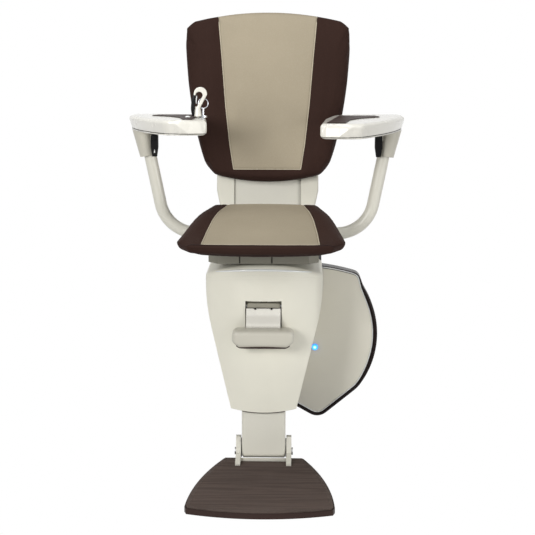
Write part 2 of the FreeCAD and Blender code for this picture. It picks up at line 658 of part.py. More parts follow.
def casing():
    outer = overlap(
        "casing_outer",
        round_corners(prism("casing_outer_plan", "XY", "-casing_hem - 20", "cap_low - running_gap",
                            casing_plan("0")), "0"),
        fillet(prism("casing_outer_front", "XZ", "-casing_front - 20", "-casing_back",
                     casing_side("0", "cap_low + 20")),
               "casing_bend", all_upright("XZ", ("casing_half", "casing_shoulder"),
                                          ("-casing_half", "casing_shoulder"))))
    inner = overlap(
        "casing_inner",
        round_corners(prism("casing_inner_plan", "XY", "-casing_hem - 40", "cap_low + 10",
                            casing_plan("casing_wall")), "casing_wall"),
        prism("casing_inner_front", "XZ", "-casing_front - 20", "-casing_back",
              [("-(casing_foot - casing_wall - 8)", "-casing_hem - 30"),
               ("casing_foot - casing_wall - 8", "-casing_hem - 30"),
               ("casing_half - casing_wall - 1", "casing_shoulder"),
               ("casing_half - casing_wall", "casing_shoulder + 40"),
               ("casing_half - casing_wall", "cap_low + 20"),
               ("-(casing_half - casing_wall)", "cap_low + 20"),
               ("-(casing_half - casing_wall)", "casing_shoulder + 40"),
               ("-(casing_half - casing_wall - 1)", "casing_shoulder")]))
    wall = "recess_wall"
    liner = overlap(
        "recess_liner",
        box("recess_liner_block", ("-recess_half - " + wall, "recess_half + " + wall),
            ("-casing_front - 5", "-recess_back + " + wall),
            ("recess_low - " + wall, "recess_high + " + wall)),
        prism("recess_liner_plan", "XY", "recess_low - 20", "recess_high + 20", casing_plan("0.5")))
    recess = box("recess", ("-recess_half", "recess_half"),
                 ("-casing_front - 5", "-recess_back"), ("recess_low", "recess_high"))
    slot = box("recess_slot", ("-finger_half - slot_gap", "finger_half + slot_gap"),
               ("-recess_back - 1", "-recess_back + " + wall + " + 1"),
               ("recess_low + 5", "recess_high - 1"))
    pin_hole = rod("recess_pin_hole", "X", "-recess_half - " + wall, "recess_half + " + wall,
                   "lever_pin_radius", ("-lever_back", "lever_height"))
    shell = cut("casing_shell", outer, inner)
    whole = join("casing_whole", shell, liner)
    node("front_cover", cut("front_cover", whole, recess, slot, pin_hole))

    cap = round_corners(prism("top_cover_body", "XY", "cap_low", "casing_top", casing_plan("0")), "0")
    side = "casing_half + 5"
    crown = cap.newObject("PartDesign::Pocket", "top_cover_crown")
    crown.Profile = new_sketch(cap, "XZ", "-casing_front - 5", [[
        (side, "casing_top - cap_crown"), (side, "casing_top + 5"), ("-(%s)" % side, "casing_top + 5"),
        ("-(%s)" % side, "casing_top - cap_crown"), ("arc", "0", "casing_top")]])
    bind(crown, "Length", "casing_depth + 10")
    cap.Tip = crown
    fillet(cap, "cap_round", lambda edge: edge.BoundBox.ZMin > value("cap_low") + 1)
    hollow(cap, "casing_wall", "XY", "cap_low")
    hole = rod("top_cover_hole", "Z", "cap_low", "casing_top + 1", "column_radius + 2",
               ("0", "-swivel_y"))
    node("top_cover", cut("top_cover", cap, hole))


def cover_screws():
    heads = []
    for index, (x, z) in enumerate((("-100", "200"), ("-88", "100"), ("-60", "-40"), ("35", "215"))):
        heads.append(rod("cover_screw_%d" % index, "Y", "-frame_face", "-frame_face + screw_head",
                         "screw_radius", (x, z)))
    node("cover_screws", group("cover_screws", *heads))


def swivel_post():
    centre = ("0", "-swivel_y")
    node("swivel_column", join(
        "swivel_column",
        rod("column_flange", "Z", "shelf_top", "shelf_top + frame_wall", "column_flange", centre),
        rod("column_tube", "Z", "shelf_top", "swivel_low - running_gap", "column_radius", centre),
        rod("column_pin", "Z", "shelf_top", "swivel_high + running_gap + nut_wall", "swivel_pin",
            centre)))
    node("swivel_nut", prism(
        "swivel_nut", "XY", "swivel_high + running_gap", "swivel_high + running_gap + nut_wall",
        ("circle", "0", "-swivel_y", "nut_radius"), ("circle", "0", "-swivel_y", "swivel_pin")))


def side_casing():
    hip = ("side_hip_x", "-side_low")
    knee = ("side_knee_x", "-side_knee_z")
    shoulder = ("side_shoulder_x", "side_shoulder_z")
    crown = ("side_crown_x", "side_crown_z")

    def blank(label):
        body = prism(
            label, "XZ", "-frame_face", "-frame_face + side_depth",
            [("side_inner", "-side_low + side_hip_rise"), hip, knee, ("arc", "side_outer", "side_mid_z"),
             shoulder, crown, ("arc", "(side_crown_x + side_peak_x) / 2", "side_top - 7"),
             ("side_peak_x", "side_top"), ("side_inner", "side_top + 3")])
        fillet(body, "side_hip_round", all_upright("XZ", hip))
        fillet(body, "side_knee_round", all_upright("XZ", knee))
        fillet(body, "side_crown_round", all_upright("XZ", shoulder, crown))
        return body
    levels = ("-frame_face", "-frame_face + side_depth")

    def inside(label, wall):
        ring = hollow(blank(label + "_ring"), wall, "XZ", *levels)
        return cut(label, blank(label + "_blank"), ring)
    node("side_cover_trim", hollow(blank("side_cover_trim"), "trim_wall", "XZ", *levels))
    depth = box("side_well_depth", ("side_inner - 1", "side_outer + 10"),
                ("-frame_face + side_wall", "-frame_face + side_depth + 1"),
                ("-side_low - 10", "side_top + 10"))
    well = overlap("side_well", inside("side_well_core", "trim_wall + side_wall"), depth)
    node("side_cover", cut("side_cover", inside("side_core", "trim_wall"), well))
    lamp = prism("status_lamp", "XZ", "-frame_face - lamp_depth", "-frame_face",
                 ("circle", "lamp_x", "lamp_z", "lamp_radius"))
    fillet(lamp, "lamp_depth / 2", rim("XZ", "-frame_face - lamp_depth"))
    node("status_lamp", lamp)


# ---------------------------------------------------------------- lever, leg and footrest
def lever():
    eye = ("-lever_back", "lever_height")
    face = "-casing_front + lever_set"
    drop = "-casing_front - pad_gap"
    strap = prism(
        "lever_strap", "YZ", "-lever_half", "lever_half",
        [("-lever_back - 5", "lever_height + lever_eye - 1"), (face, "lever_height - 8"),
         (face, "recess_low + 13"), (drop + " - lever_wall", "recess_low + 9"),
         (drop + " - lever_wall", "pad_top"), (drop, "pad_top"),
         (face + " + lever_wall", "recess_low + 5"), (face + " + lever_wall", "lever_height - 14"),
         ("-lever_back + 5", "lever_height - 4")])
    knuckle = rod("lever_knuckle", "X", "-lever_half", "lever_half", "lever_eye", eye)
    tip = "(lever_back - link_y + finger_over)"
    finger = prism(
        "lever_finger", "YZ", "-finger_half", "finger_half",
        [("-lever_back", "lever_height - finger_slant"),
         ("-lever_back + " + tip, "lever_height - finger_slant + %s * tan(lever_swing / 2)" % tip),
         ("-lever_back + " + tip, "lever_height + finger_slant + %s * tan(lever_swing / 2)" % tip),
         ("-lever_back", "lever_height + finger_slant")])
    bore = rod("lever_bore", "X", "-lever_half - 1", "lever_half + 1",
               "lever_pin_radius + running_gap", eye)
    node("lever_arm", cut("lever_arm", join("lever_blank", strap, knuckle, finger), bore))
    node("lever_hinge_pin", rod("lever_hinge_pin", "X", "-recess_half - recess_wall",
                                "recess_half + recess_wall", "lever_pin_radius", eye))
    grip = prism(
        "lever_pad", "XZ", "-pad_reach", "-casing_front - pad_gap",
        [("-pad_half", "pad_top"), ("-pad_half", "pad_low + pad_heel"),
         ("-pad_half + pad_side", "pad_low"), ("arc", "0", "pad_low + pad_arch"),
         ("pad_half - pad_side", "pad_low"), ("pad_half", "pad_low + pad_heel"),
         ("pad_half", "pad_top")])
    fillet(grip, "pad_round * 1.4", all_upright(
        "XZ", ("-pad_half", "pad_top"), ("pad_half", "pad_top"),
        ("-pad_half", "pad_low + pad_heel"), ("pad_half", "pad_low + pad_heel")))
    fillet(grip, "pad_round", rim("XZ", "-pad_reach"))
    node("lever_pad", grip)
    node("link_rod", rod("link_rod", "Z", "-foot_pivot_drop + crank_half + running_gap", "link_top",
                         "link_radius", ("0", "-link_y")))


def leg_side(inset):
    """Side outline of the leg, round about the footrest's pivot at its lower end."""
    return [
        ("-leg_front + %s" % inset, "leg_top"), ("-leg_front + %s" % inset, "-foot_pivot_drop"),
        ("arc", "-foot_pivot_y", "-foot_pivot_drop - leg_depth / 2 + %s" % inset),
        ("-leg_back - %s" % inset, "-foot_pivot_drop"), ("-leg_back - %s" % inset, "leg_top")]


def leg():
    blank = prism("leg_blank", "YZ", "-leg_half", "leg_half", leg_side("0"))
    chamfer(blank, "leg_bevel", lambda edge: edge.Curve.TypeId == "Part::GeomLine"
            and abs(edge.CenterOfMass.y + value("leg_front")) < 0.01
            and abs(abs(edge.CenterOfMass.x) - value("leg_half")) < 0.01)
    core = prism("leg_core", "YZ", "-leg_half + leg_wall", "leg_half - leg_wall", leg_side("leg_wall"))
    pivot = ("-foot_pivot_y", "-foot_pivot_drop")
    hole = rod("leg_hole", "X", "-leg_half", "leg_half", "foot_pin_radius", pivot)
    node("footrest_leg", cut("footrest_leg", blank, core, hole))
    bar = rod("foot_pin_bar", "X", "-foot_arm_out - running_gap", "foot_arm_out + running_gap",
              "foot_pin_radius", pivot)
    heads = []
    for side in (-1, 1):
        x = span(side, "foot_arm_out + running_gap", "foot_arm_out + running_gap + foot_head_wall")
        heads.append(rod("foot_pin_head_" + side_name(side), "X", x[0], x[1],
                         "foot_head_radius", pivot))
    node("footrest_pin", join("footrest_pin", bar, *heads))


def foot_plan(inset):
    """Plan outline of the footplate: narrow at the leg, bowed sides and front."""
    rear = "-foot_pivot_y - %s" % inset
    wide = "foot_front - %s" % inset
    front = "-foot_pivot_y - foot_length + foot_bow + 8"
    return [
        ("-(foot_rear - %s)" % inset, rear), ("arc", "-(foot_waist - %s)" % inset,
                                              "-foot_pivot_y - foot_length * 0.4"),
        ("-(%s)" % wide, front),
        ("-(%s) + 4" % wide, "-foot_pivot_y - foot_length + foot_bow - 4 + %s" % inset),
        ("arc", "0", "-foot_pivot_y - foot_length + %s" % inset),
        (wide + " - 4", "-foot_pivot_y - foot_length + foot_bow - 4 + %s" % inset),
        (wide, front), ("arc", "foot_waist - %s" % inset, "-foot_pivot_y - foot_length * 0.4"),
        ("foot_rear - %s" % inset, rear)]


def footrest():
    inset = "(pan_wall + pan_gap)"
    node("footplate", prism("footplate", "XY", "foot_low", "mat_low", foot_plan(inset)))
    node("footplate_mat", prism("footplate_mat", "XY", "mat_low", "mat_top", foot_plan(inset)))
    pan = prism("safety_pan", "XY", "pan_floor - pan_wall", "mat_low", foot_plan("0"))
    node("safety_pan", hollow(pan, "pan_wall", "XY", "mat_low"))

    crank = "-link_y + crank_half"
    arms = []
    for side in (-1, 1):
        name = "foot_arm_" + side_name(side)
        x = span(side, "foot_arm_in", "foot_arm_out")
        plate = prism(
            name, "YZ", x[0], x[1],
            [("-foot_pivot_y - foot_arm_half", "-foot_pivot_drop + foot_arm_rise"),
             ("-foot_pivot_y + foot_arm_half", "-foot_pivot_drop + foot_arm_rise"),
             (crank, "-foot_pivot_drop + foot_head_radius"), (crank, "mat_top"),
             ("-foot_pivot_y - foot_arm_toe", "mat_top"),
             ("-foot_pivot_y - foot_arm_toe", "mat_top + 5"),
             ("-foot_pivot_y - leg_depth / 2", "-foot_pivot_drop")],
            ("circle", "-foot_pivot_y", "-foot_pivot_drop", "foot_pin_radius + running_gap"))
        arms.append(plate)
    node("footrest_brackets", group("footrest_brackets", *arms))
    across = ("-foot_arm_in", "foot_arm_in")
    front = box("foot_bar_front", across, ("-bar_front", "-bar_front + bar_wall"),
                ("mat_top", "mat_top + bar_height"))
    rear = box("foot_bar_rear", across, ("-link_y - crank_half", crank),
               ("-foot_pivot_drop - crank_half", "-foot_pivot_drop + crank_half"))
    node("footrest_crossbars", group("footrest_crossbars", front, rear))


# ---------------------------------------------------------------- seat carrier
def back_line(depth, height):
    """Y of the backrest's plane at a depth behind its front face, at a height."""
    return "(-back_y + (%s) / cos(back_lean) + ((%s) - back_z) * tan(back_lean))" % (depth, height)


def swivel_plate():
    plate = prism(
        "carrier_plate", "XY", "swivel_low", "swivel_high",
        [("-swivel_half", "-swivel_front"), ("swivel_half", "-swivel_front"),
         ("swivel_half", "-beam_y + beam_depth / 2"), ("tail_half", "-beam_y + beam_depth / 2"),
         ("tail_half", "-tail_end"), ("-tail_half", "-tail_end"),
         ("-tail_half", "-beam_y + beam_depth / 2"), ("-swivel_half", "-beam_y + beam_depth / 2")],
        ("circle", "0", "-swivel_y", "swivel_pin + running_gap"))
    chamfer(plate, "swivel_bevel", all_upright("XY", ("-swivel_half", "-swivel_front"),
                                               ("swivel_half", "-swivel_front")))
    beam = box("carrier_beam", ("-beam_half", "beam_half"),
               ("-beam_y - beam_depth / 2", "-beam_y + beam_depth / 2"), ("swivel_low", "beam_high"))
    bores = []
    stops = []
    lugs = []
    holes = []
    for side in (-1, 1):
        tag = side_name(side)
        x = span(side, "beam_half - tube_inlet", "beam_half")
        bores.append(rod("beam_bore_" + tag, "X", x[0], x[1], "tube_radius",
                         ("-beam_y", "tube_foot_z")))
        stops.append(rod("seat_stop_" + tag, "Z", "swivel_high - 1", "seat_low - running_gap",
                         "stop_radius", (mirrored(side, "stop_side"), "-stop_y")))
        x = span(side, "lug_in", "lug_in + lug_wall")
        lugs.append(box("carrier_lug_" + tag, x, ("-hinge_y - lug_half", "-hinge_y + lug_half"),
                        ("swivel_high - 1", "hinge_z + lug_half")))
        holes.append(rod("carrier_lug_hole_" + tag, "X", x[0], x[1], "hinge_pin",
                         ("-hinge_y", "hinge_z")))
    blank = join("carrier_blank", plate, beam, *(stops + lugs))
    node("swivel_plate", cut("swivel_plate", blank, *(bores + holes)))


def back_bracket():
    low = "swivel_high"
    node("back_bracket", prism(
        "back_bracket", "YZ", "-tail_half", "tail_half",
        [(back_line("upright_front", low), low),
         (back_line("upright_front + upright_wall", low), low),
         (back_line("upright_front + upright_wall", "upright_top"), "upright_top"),
         (back_line("upright_front", "upright_top"), "upright_top")]))
    for side in (-1, 1):
        name = "back_wing_" + side_name(side)
        wing = prism(
            name, "XZ", "board_front + wing_set", "upright_front + upright_wall",
            [(mirrored(side, "tail_half"), "-wing_drop"), (mirrored(side, "wing_foot"), "-wing_drop"),
             (mirrored(side, "wing_reach"), "-wing_drop / 4"),
             (mirrored(side, "wing_reach"), "wing_rise"), (mirrored(side, "tail_half"), "wing_rise")])
        inner = value(mirrored(side, "tail_half"))
        fillet(wing, "wing_round", lambda edge, inner=inner: edge.Curve.TypeId == "Part::GeomLine"
               and abs(edge.CenterOfMass.x) > abs(inner) + 1 and edge.BoundBox.ZLength > 1)
        lean_back(wing)
        node(name, wing)


def back_outline(inset, low):
    """Front outline of the backrest in its own plane: crowned top, tapered to a round foot."""
    def half(text):
        return "(%s - %s)" % (text, inset)
    right = [
        (half("back_foot"), "%s + 16" % low), (half("back_foot + 22"), "%s + 44" % low),
        ("arc", half("back_half - 12"), "170"), (half("back_half"), "300"),
        (half("back_half - 1"), "back_tall - 34 - %s" % inset),
        (half("back_half - 17"), "back_tall - 20 - %s" % inset)]
    left = []
    for step in reversed(right):
        if step[0] == "arc":
            left.append(("arc", "-" + step[1], step[2]))
        else:
            left.append(("-" + step[0], step[1]))
    return right + [("arc", "0", "back_tall - %s" % inset)] + left + [("arc", "0", low)]


def lean_back(body):
    """Stand a body that was drawn upright into the leaning plane of the backrest."""
    body.Placement = Placement(Vector(), Rotation(Vector(-1, 0, 0), value("back_lean")))
    place(body, "0", "-back_y", "back_z")
    bind(body, "Placement.Rotation.Angle", "back_lean")
    return body


def backrest():
    def slab(label, front, rear, inset, low):
        body = prism(label, "XZ", front, rear, back_outline(inset, low))
        fillet(body, "14", all_upright(
            "XZ", *[(mark + "(back_half - 17 - %s)" % inset, "back_tall - 20 - %s" % inset)
                    for mark in ("", "-")]))
        return body
    cushion = slab("back_cushion", "0", "back_thick", "0", "0")
    fillet(cushion, "back_corner", rim("XZ", "0"))
    node("back_cushion", lean_back(cushion))
    board = slab("back_board", "board_front", "upright_front", "board_inset", "board_lift")
    node("back_board", lean_back(board))
    rear = "upright_front + shell_depth"
    shell = slab("back_shell_blank", "upright_front", rear, "(board_inset - 6)", "board_lift")
    fillet(shell, "8", rim("XZ", rear))
    core = slab("back_shell_core", "upright_front - 1", rear + " - casing_wall",
                "(board_inset - 6 + casing_wall)", "board_lift + casing_wall")
    notch = prism("back_shell_notch", "XZ", "upright_front - 1", "upright_front + upright_wall + 1",
                  rectangle(("-wing_reach - 1", "wing_reach + 1"),
                            ("board_lift - 10", "board_lift + 30")))
    node("back_shell", cut("back_shell", lean_back(shell), lean_back(core), lean_back(notch)))


def arm_tubes():
    for side in (-1, 1):
        name = "arm_tube_" + side_name(side)
        body = doc.addObject("PartDesign::Body", name)
        start = mirrored(side, "beam_half - tube_inlet")
        route = new_sketch(body, "XZ", "-beam_y", [[
            (start, "tube_foot_z"), (mirrored(side, "tube_start"), "tube_foot_z"),
            ("arc", mirrored(side, "tube_start + tube_bend * sin((90 - tube_lean) / 2)"),
             "tube_foot_z + tube_bend * (1 - cos((90 - tube_lean) / 2))"),
            (mirrored(side, "tube_corner_x + tube_setback * sin(tube_lean)"),
             "tube_foot_z + tube_setback * cos(tube_lean)"),
            (mirrored(side, "tube_top_x"), "tube_foot_z + tube_rise")]], closed=False)
        ring = new_sketch(body, "YZ", start, [("circle", "-beam_y", "tube_foot_z", "tube_radius")])
        pipe = body.newObject("PartDesign::AdditivePipe", name + "_pipe")
        pipe.Profile = ring
        pipe.Spine = (route, [])
        body.Tip = pipe
        node(name, body)


def arm_sockets():
    hinge_pins = []
    catch_pins = []
    for side in (-1, 1):
        tag = side_name(side)
        name = "arm_socket_" + tag
        cone = doc.addObject("Part::Cone", name + "_cone")
        cone.Placement = Placement(Vector(), Rotation(Vector(0, side, 0), value("tube_lean")))
        bind(cone, "Radius1", "socket_low")
        bind(cone, "Radius2", "socket_high")
        bind(cone, "Height", "socket_length")
        bind(cone, "Placement.Rotation.Angle", "tube_lean")
        place(cone, mirrored(side, "socket_x"), "-beam_y", "tube_foot_z + socket_base")
        bore = doc.addObject("Part::Cylinder", name + "_bore")
        bore.Placement = Placement(Vector(), Rotation(Vector(0, side, 0), value("tube_lean")))
        bind(bore, "Radius", "tube_radius")
        bind(bore, "Height", "tube_rise / cos(tube_lean)")
        bind(bore, "Placement.Rotation.Angle", "tube_lean")
        place(bore, mirrored(side, "tube_corner_x"), "-beam_y", "tube_foot_z")
        ear_x = span(side, "arm_lug_x - ear_half", "arm_lug_x + ear_half")
        ear = box(name + "_ear", ear_x, ("-arm_pivot_y - ear_fore", "-arm_pivot_y + ear_fore"),
                  ("arm_pivot_z - ear_drop", "arm_pivot_z + ear_over"))
        root = box(name + "_root", ear_x, ("-beam_y", "-arm_pivot_y + ear_fore"),
                   ("arm_pivot_z - ear_drop", "arm_low - 10"))
        lug_x = span(side, "catch_x - catch_lug_half", "catch_x + 10")
        lug = box(name + "_catch_lug", lug_x, ("-catch_face", "-beam_y"),
                  ("catch_z - catch_lug_half", "catch_z + catch_lug_half"))
        ear_hole = rod(name + "_ear_hole", "X", ear_x[0], ear_x[1], "arm_pin",
                       ("-arm_pivot_y", "arm_pivot_z"))
        catch_centre = (mirrored(side, "catch_x"), "catch_z")
        lug_hole = rod(name + "_lug_hole", "Y", "-catch_face", "-catch_face + 10", "catch_pin",
                       catch_centre)
        above = ("arm_low - socket_rest", "arm_low + socket_length")
        wide = span(side, "catch_x - 30", "arm_outer + 30")
        clear_front = box(name + "_clear_front", wide, ("-beam_y - 40", "-beam_y + 40"), above)
        clear_rear = box(name + "_clear_rear", wide, ("-arm_pivot_y - socket_step_y", "-beam_y + 40"),
                         ("arm_low - socket_step", above[1]))
        blank = join(name + "_blank", cut(name + "_funnel", cone, clear_front, clear_rear),
                     ear, root, lug)
        node(name, cut(name, blank, bore, ear_hole, lug_hole))
        pin_x = span(side, "arm_lug_x - ear_half - 8", "arm_lug_x + ear_half + 8")
        hinge_pins.append(rod("arm_hinge_pin_" + tag, "X", pin_x[0], pin_x[1], "arm_pin",
                              ("-arm_pivot_y", "arm_pivot_z")))
        end = "-catch_front - catch_gap"
        shank = rod("catch_shank_" + tag, "Y", end, "-catch_face + 10", "catch_pin", catch_centre)
        head = rod("catch_head_" + tag, "Y", end + " - catch_head", end, "catch_pin + collar_lip",
                   catch_centre)
        catch_pins.append(join("catch_pin_" + tag, shank, head))
        catch(side)
    node("arm_hinge_pins", group("arm_hinge_pins", *hinge_pins))
    node("catch_pins", group("catch_pins", *catch_pins))


def catch(side):
    """Black swing catch below an armrest: round head, narrower lower end."""
    name = "catch_" + side_name(side)

    def across(text):
        return mirrored(side, "catch_x + (%s)" % text)
    plate = prism(
        name, "XZ", "-catch_front", "-catch_face - catch_gap",
        [(across("-catch_half"), "catch_z + catch_over"),
         (across("-catch_half"), "catch_z - catch_waist"),
         (across("-catch_half + catch_taper"), "catch_z - catch_drop"),
         (across("catch_half - catch_taper"), "catch_z - catch_drop"),
         (across("catch_half"), "catch_z - catch_waist"),
         (across("catch_half"), "catch_z + catch_over")],
        ("circle", across("0"), "catch_z", "catch_pin + running_gap"))
    fillet(plate, "catch_half * 0.6", all_upright(
        "XZ", (across("-catch_half"), "catch_z + catch_over"),
        (across("catch_half"), "catch_z + catch_over")))
    node(name, plate)


def seat_hinge_pins():
    pins = []
    for side in (-1, 1):
        x = span(side, "lug_in - lug_wall - 2", "lug_in + lug_wall + 2")
        pins.append(rod("seat_pin_" + side_name(side), "X", x[0], x[1], "hinge_pin",
                        ("-hinge_y", "hinge_z")))
    node("seat_hinge_pins", group("seat_hinge_pins", *pins))


# ---------------------------------------------------------------- folding seat
def seat_plan(inset):
    """Plan outline of the seat: narrow at the back, bowed front."""
    front = "-seat_front + seat_bow + seat_corner"
    corner = "-seat_front + seat_bow"
    return [
        ("-(seat_rear_half - %s)" % inset, "-seat_rear - %s" % inset),
        ("arc", "-((seat_rear_half + seat_front_half) / 2 + seat_bulge - %s)" % inset,
         "-seat_rear - seat_depth * 0.45"),
        ("-(seat_front_half - %s)" % inset, front),
        ("-(seat_front_half - seat_corner_in - %s)" % inset, corner + " + %s" % inset),
        ("arc", "0", "-seat_front + %s" % inset),
        ("seat_front_half - seat_corner_in - %s" % inset, corner + " + %s" % inset),
        ("seat_front_half - %s" % inset, front),
        ("arc", "(seat_rear_half + seat_front_half) / 2 + seat_bulge - %s" % inset,
         "-seat_rear - seat_depth * 0.45"),
        ("seat_rear_half - %s" % inset, "-seat_rear - %s" % inset)]


def seat():
    cushion = prism("seat_cushion", "XY", "cushion_low", "cushion_top", seat_plan("0"))
    fillet(cushion, "cushion_round", rim("XY", "cushion_top"))
    fillet(cushion, "cushion_belly", rim("XY", "cushion_low"))
    node("seat_cushion", cushion)
    pan = prism("seat_pan_plate", "XY", "seat_low", "pan_top", seat_plan("pan_inset"))
    lugs = []
    holes = []
    for side in (-1, 1):
        x = span(side, "lug_in - lug_wall - running_gap", "lug_in - running_gap")
        lugs.append(box("pan_lug_" + side_name(side), x,
                        ("-hinge_y - lug_half", "-hinge_y + lug_half"),
                        ("hinge_z - lug_half + 1", "seat_low + 1")))
        holes.append(rod("pan_lug_hole_" + side_name(side), "X", x[0], x[1],
                         "hinge_pin + running_gap", ("-hinge_y", "hinge_z")))
    node("seat_pan", cut("seat_pan", join("seat_pan_blank", pan, *lugs), *holes))


# ---------------------------------------------------------------- armrests and controls
def arm_plan(side):
    """Plan outline of an armrest: blunt tip over the lap, long sweep out to its socket."""
    def at(x, y):
        return mirrored(side, x), y
    return [
        at("arm_tip_in", "-arm_front + arm_tip_set"), at("arm_tip_out", "-arm_front"),
        at("arm_elbow_x", "-arm_elbow_y"), ("arc",) + at("arm_sweep_x", "-arm_sweep_y"),
        at("arm_outer", "-arm_tail_y"), at("arm_outer - arm_tail_in", "-arm_rear"),
        at("arm_heel_x", "-arm_rear"), at("arm_inner_x", "-arm_inner_y"),
        at("arm_tip_in + arm_knee_in", "-arm_knee_y")]


def raise_left(piece):
    """Turn a piece of the left arm about its hinge, to the angle at which that arm rests."""
    piece.Placement = Placement(Vector(), Rotation(Vector(-1, 0, 0), value("arm_tilt")))
    place(piece, "0", "arm_pivot_y * (cos(arm_tilt) - 1) - arm_pivot_z * sin(arm_tilt)",
          "arm_pivot_z * (1 - cos(arm_tilt)) - arm_pivot_y * sin(arm_tilt)")
    bind(piece, "Placement.Rotation.Angle", "arm_tilt")
    return piece


def armrest(side):
    tag = side_name(side)
    name = "armrest_" + tag
    blank = prism(name + "_blank", "XY", "arm_low", "arm_high", arm_plan(side))

    def spot(x, y):
        return mirrored(side, x), y
    fillet(blank, "arm_tip_round", all_upright(
        "XY", spot("arm_tip_in", "-arm_front + arm_tip_set"), spot("arm_tip_out", "-arm_front"),
        spot("arm_outer - arm_tail_in", "-arm_rear")))
    fillet(blank, "arm_bend_round", all_upright(
        "XY", spot("arm_elbow_x", "-arm_elbow_y"), spot("arm_inner_x", "-arm_inner_y"),
        spot("arm_outer", "-arm_tail_y"), spot("arm_tip_in + arm_knee_in", "-arm_knee_y"),
        spot("arm_heel_x", "-arm_rear")))
    fillet(blank, "arm_round", rim("XY", "arm_high"))
    fillet(blank, "arm_belly", rim("XY", "arm_low"))
    x = span(side, "arm_lug_x - ear_half - ear_gap", "arm_lug_x + ear_half + ear_gap")
    notch = box(name + "_notch", x, ("-arm_pivot_y - 16", "-arm_rear + 1"),
                ("arm_low - 1", "arm_pivot_z + 12.5"))
    pin_x = span(side, "arm_lug_x - ear_half - 9", "arm_lug_x + ear_half + 9")
    bore = rod(name + "_bore", "X", pin_x[0], pin_x[1], "arm_pin + running_gap",
               ("-arm_pivot_y", "arm_pivot_z"))
    if side > 0:
        node(name, cut(name, blank, notch, bore))
    else:
        well = button_well("arm_high - button_sink", "arm_high + 1")
        node(name, raise_left(cut(name, blank, notch, bore, well)))


def button_well(low, high):
    gap = "running_gap"
    return box(
        "button_well", ("-button_x - button_half - %s" % gap, "-button_x + button_half + %s" % gap),
        ("-button_y - button_deep - %s" % gap, "-button_y + button_deep + %s" % gap), (low, high))


def armrest_pads():
    """Inlays on the armrests; the left one leaves room for the controls beside it."""
    across = {"front": ("inlay_tip_in", "inlay_tip_out"), "left": ("inlay_left_in", "inlay_left_out")}
    for side in (-1, 1):
        name = "armrest_pad_" + side_name(side)
        tip_in, tip_out = across["front" if side > 0 else "left"]

        def at(x, y, side=side):
            return mirrored(side, x), y
        inner = [] if side > 0 else [at("inlay_left_in", "-inlay_left_y")]
        pad = prism(
            name, "XY", "arm_high", "arm_high + arm_pad_wall",
            [at(tip_in, "-inlay_front"), at(tip_out, "-inlay_front"),
             at("inlay_bend_x", "-inlay_bend_y"), at("inlay_mid_x", "-inlay_mid_y"),
             at("inlay_end_x", "-inlay_end_y"), at("inlay_end_x - 8", "-inlay_rear"),
             at("inlay_heel_x", "-inlay_rear")] + inner)
        node(name, pad if side > 0 else raise_left(
            cut(name + "_cut", pad, button_well("arm_high - 1", "arm_high + arm_pad_wall + 1"))))


def joystick():
    foot = "arm_high + stick_lift"
    skirt = doc.addObject("Part::Cone", "stick_skirt")
    bind(skirt, "Radius1", "skirt_low")
    bind(skirt, "Radius2", "skirt_high")
    bind(skirt, "Height", "skirt_tall")
    place(skirt, "-stick_x", "-stick_y", foot + " + heel_rise")
    heel = rod("stick_heel", "Z", foot, foot + " + heel_rise + 1", "heel_radius",
               ("-stick_x", "-stick_y"))

    def spot(x, z):
        return "-stick_x + (%s)" % x, foot + " + (%s)" % z
    neck = prism(
        "stick_neck", "XZ", "-stick_y - stick_half", "-stick_y + stick_half",
        [spot("-stick_stem", "skirt_tall - 2"), spot("stick_stem", "skirt_tall - 2"),
         spot("hook_out", "stick_tall - hook_bend"), ("arc",) + spot("hook_crown", "stick_tall"),
         spot("-hook_in", "stick_tall - hook_tip"), spot("-hook_lip_in", "stick_tall - hook_lip"),
         spot("-hook_end_in", "stick_tall - hook_lip"),
         ("arc",) + spot("hook_eye", "stick_tall - hook_wall"),
         spot("hook_throat", "stick_tall - hook_lip - 1")])
    fillet(neck, "hook_round", all_upright("XZ"))
    fillet(neck, "hook_round", rim("XZ", "-stick_y - stick_half"))
    fillet(neck, "hook_round", rim("XZ", "-stick_y + stick_half"))
    node("joystick_lever", raise_left(join("joystick_lever", skirt, heel, neck)))


def button_and_key():
    high = "arm_high"
    button = prism(
        "function_button", "XY", high + " - button_sink + button_stroke + 0.3", high + " + button_proud",
        rectangle(("-button_x - button_half", "-button_x + button_half"),
                  ("-button_y - button_deep", "-button_y + button_deep")))
    fillet(button, "button_deep - 0.5", all_upright("XY"))
    fillet(button, "1", rim("XY", high + " + button_proud"))
    node("function_button", raise_left(button))
    node("key_switch", raise_left(prism(
        "key_switch", "XY", high, high + " + lock_rise", ("circle", "-lock_x", "-lock_y", "lock_radius"),
        ("circle", "-lock_x", "-lock_y", "lock_bore"))))
    shank = rod("key_shank", "Z", high + " + key_gap", high + " + key_tall", "lock_bore - key_gap",
                ("-lock_x", "-lock_y"))
    bow = doc.addObject("Part::Torus", "key_bow")
    bow.Placement = Placement(Vector(), ROD_TURN["Y"])
    bind(bow, "Radius1", "key_ring")
    bind(bow, "Radius2", "key_wire")
    place(bow, "-lock_x", "-lock_y", high + " + key_tall + key_ring")
    node("key", raise_left(join("key", shank, bow)))


# ---------------------------------------------------------------- build, check and write
def build():
    guide_rings()
    carriage_frame()
    rollers()
    drive()
    levelling()
    chassis_frame()
    batteries()
    control_board()
    casing()
    cover_screws()
    swivel_post()
    side_casing()
    lever()
    leg()
    footrest()
    swivel_plate()
    back_bracket()
    backrest()
    arm_tubes()
    arm_sockets()
    seat_hinge_pins()
    seat()
    armrest(1)
    armrest(-1)
    armrest_pads()
    joystick()
    button_and_key()
    doc.recompute()


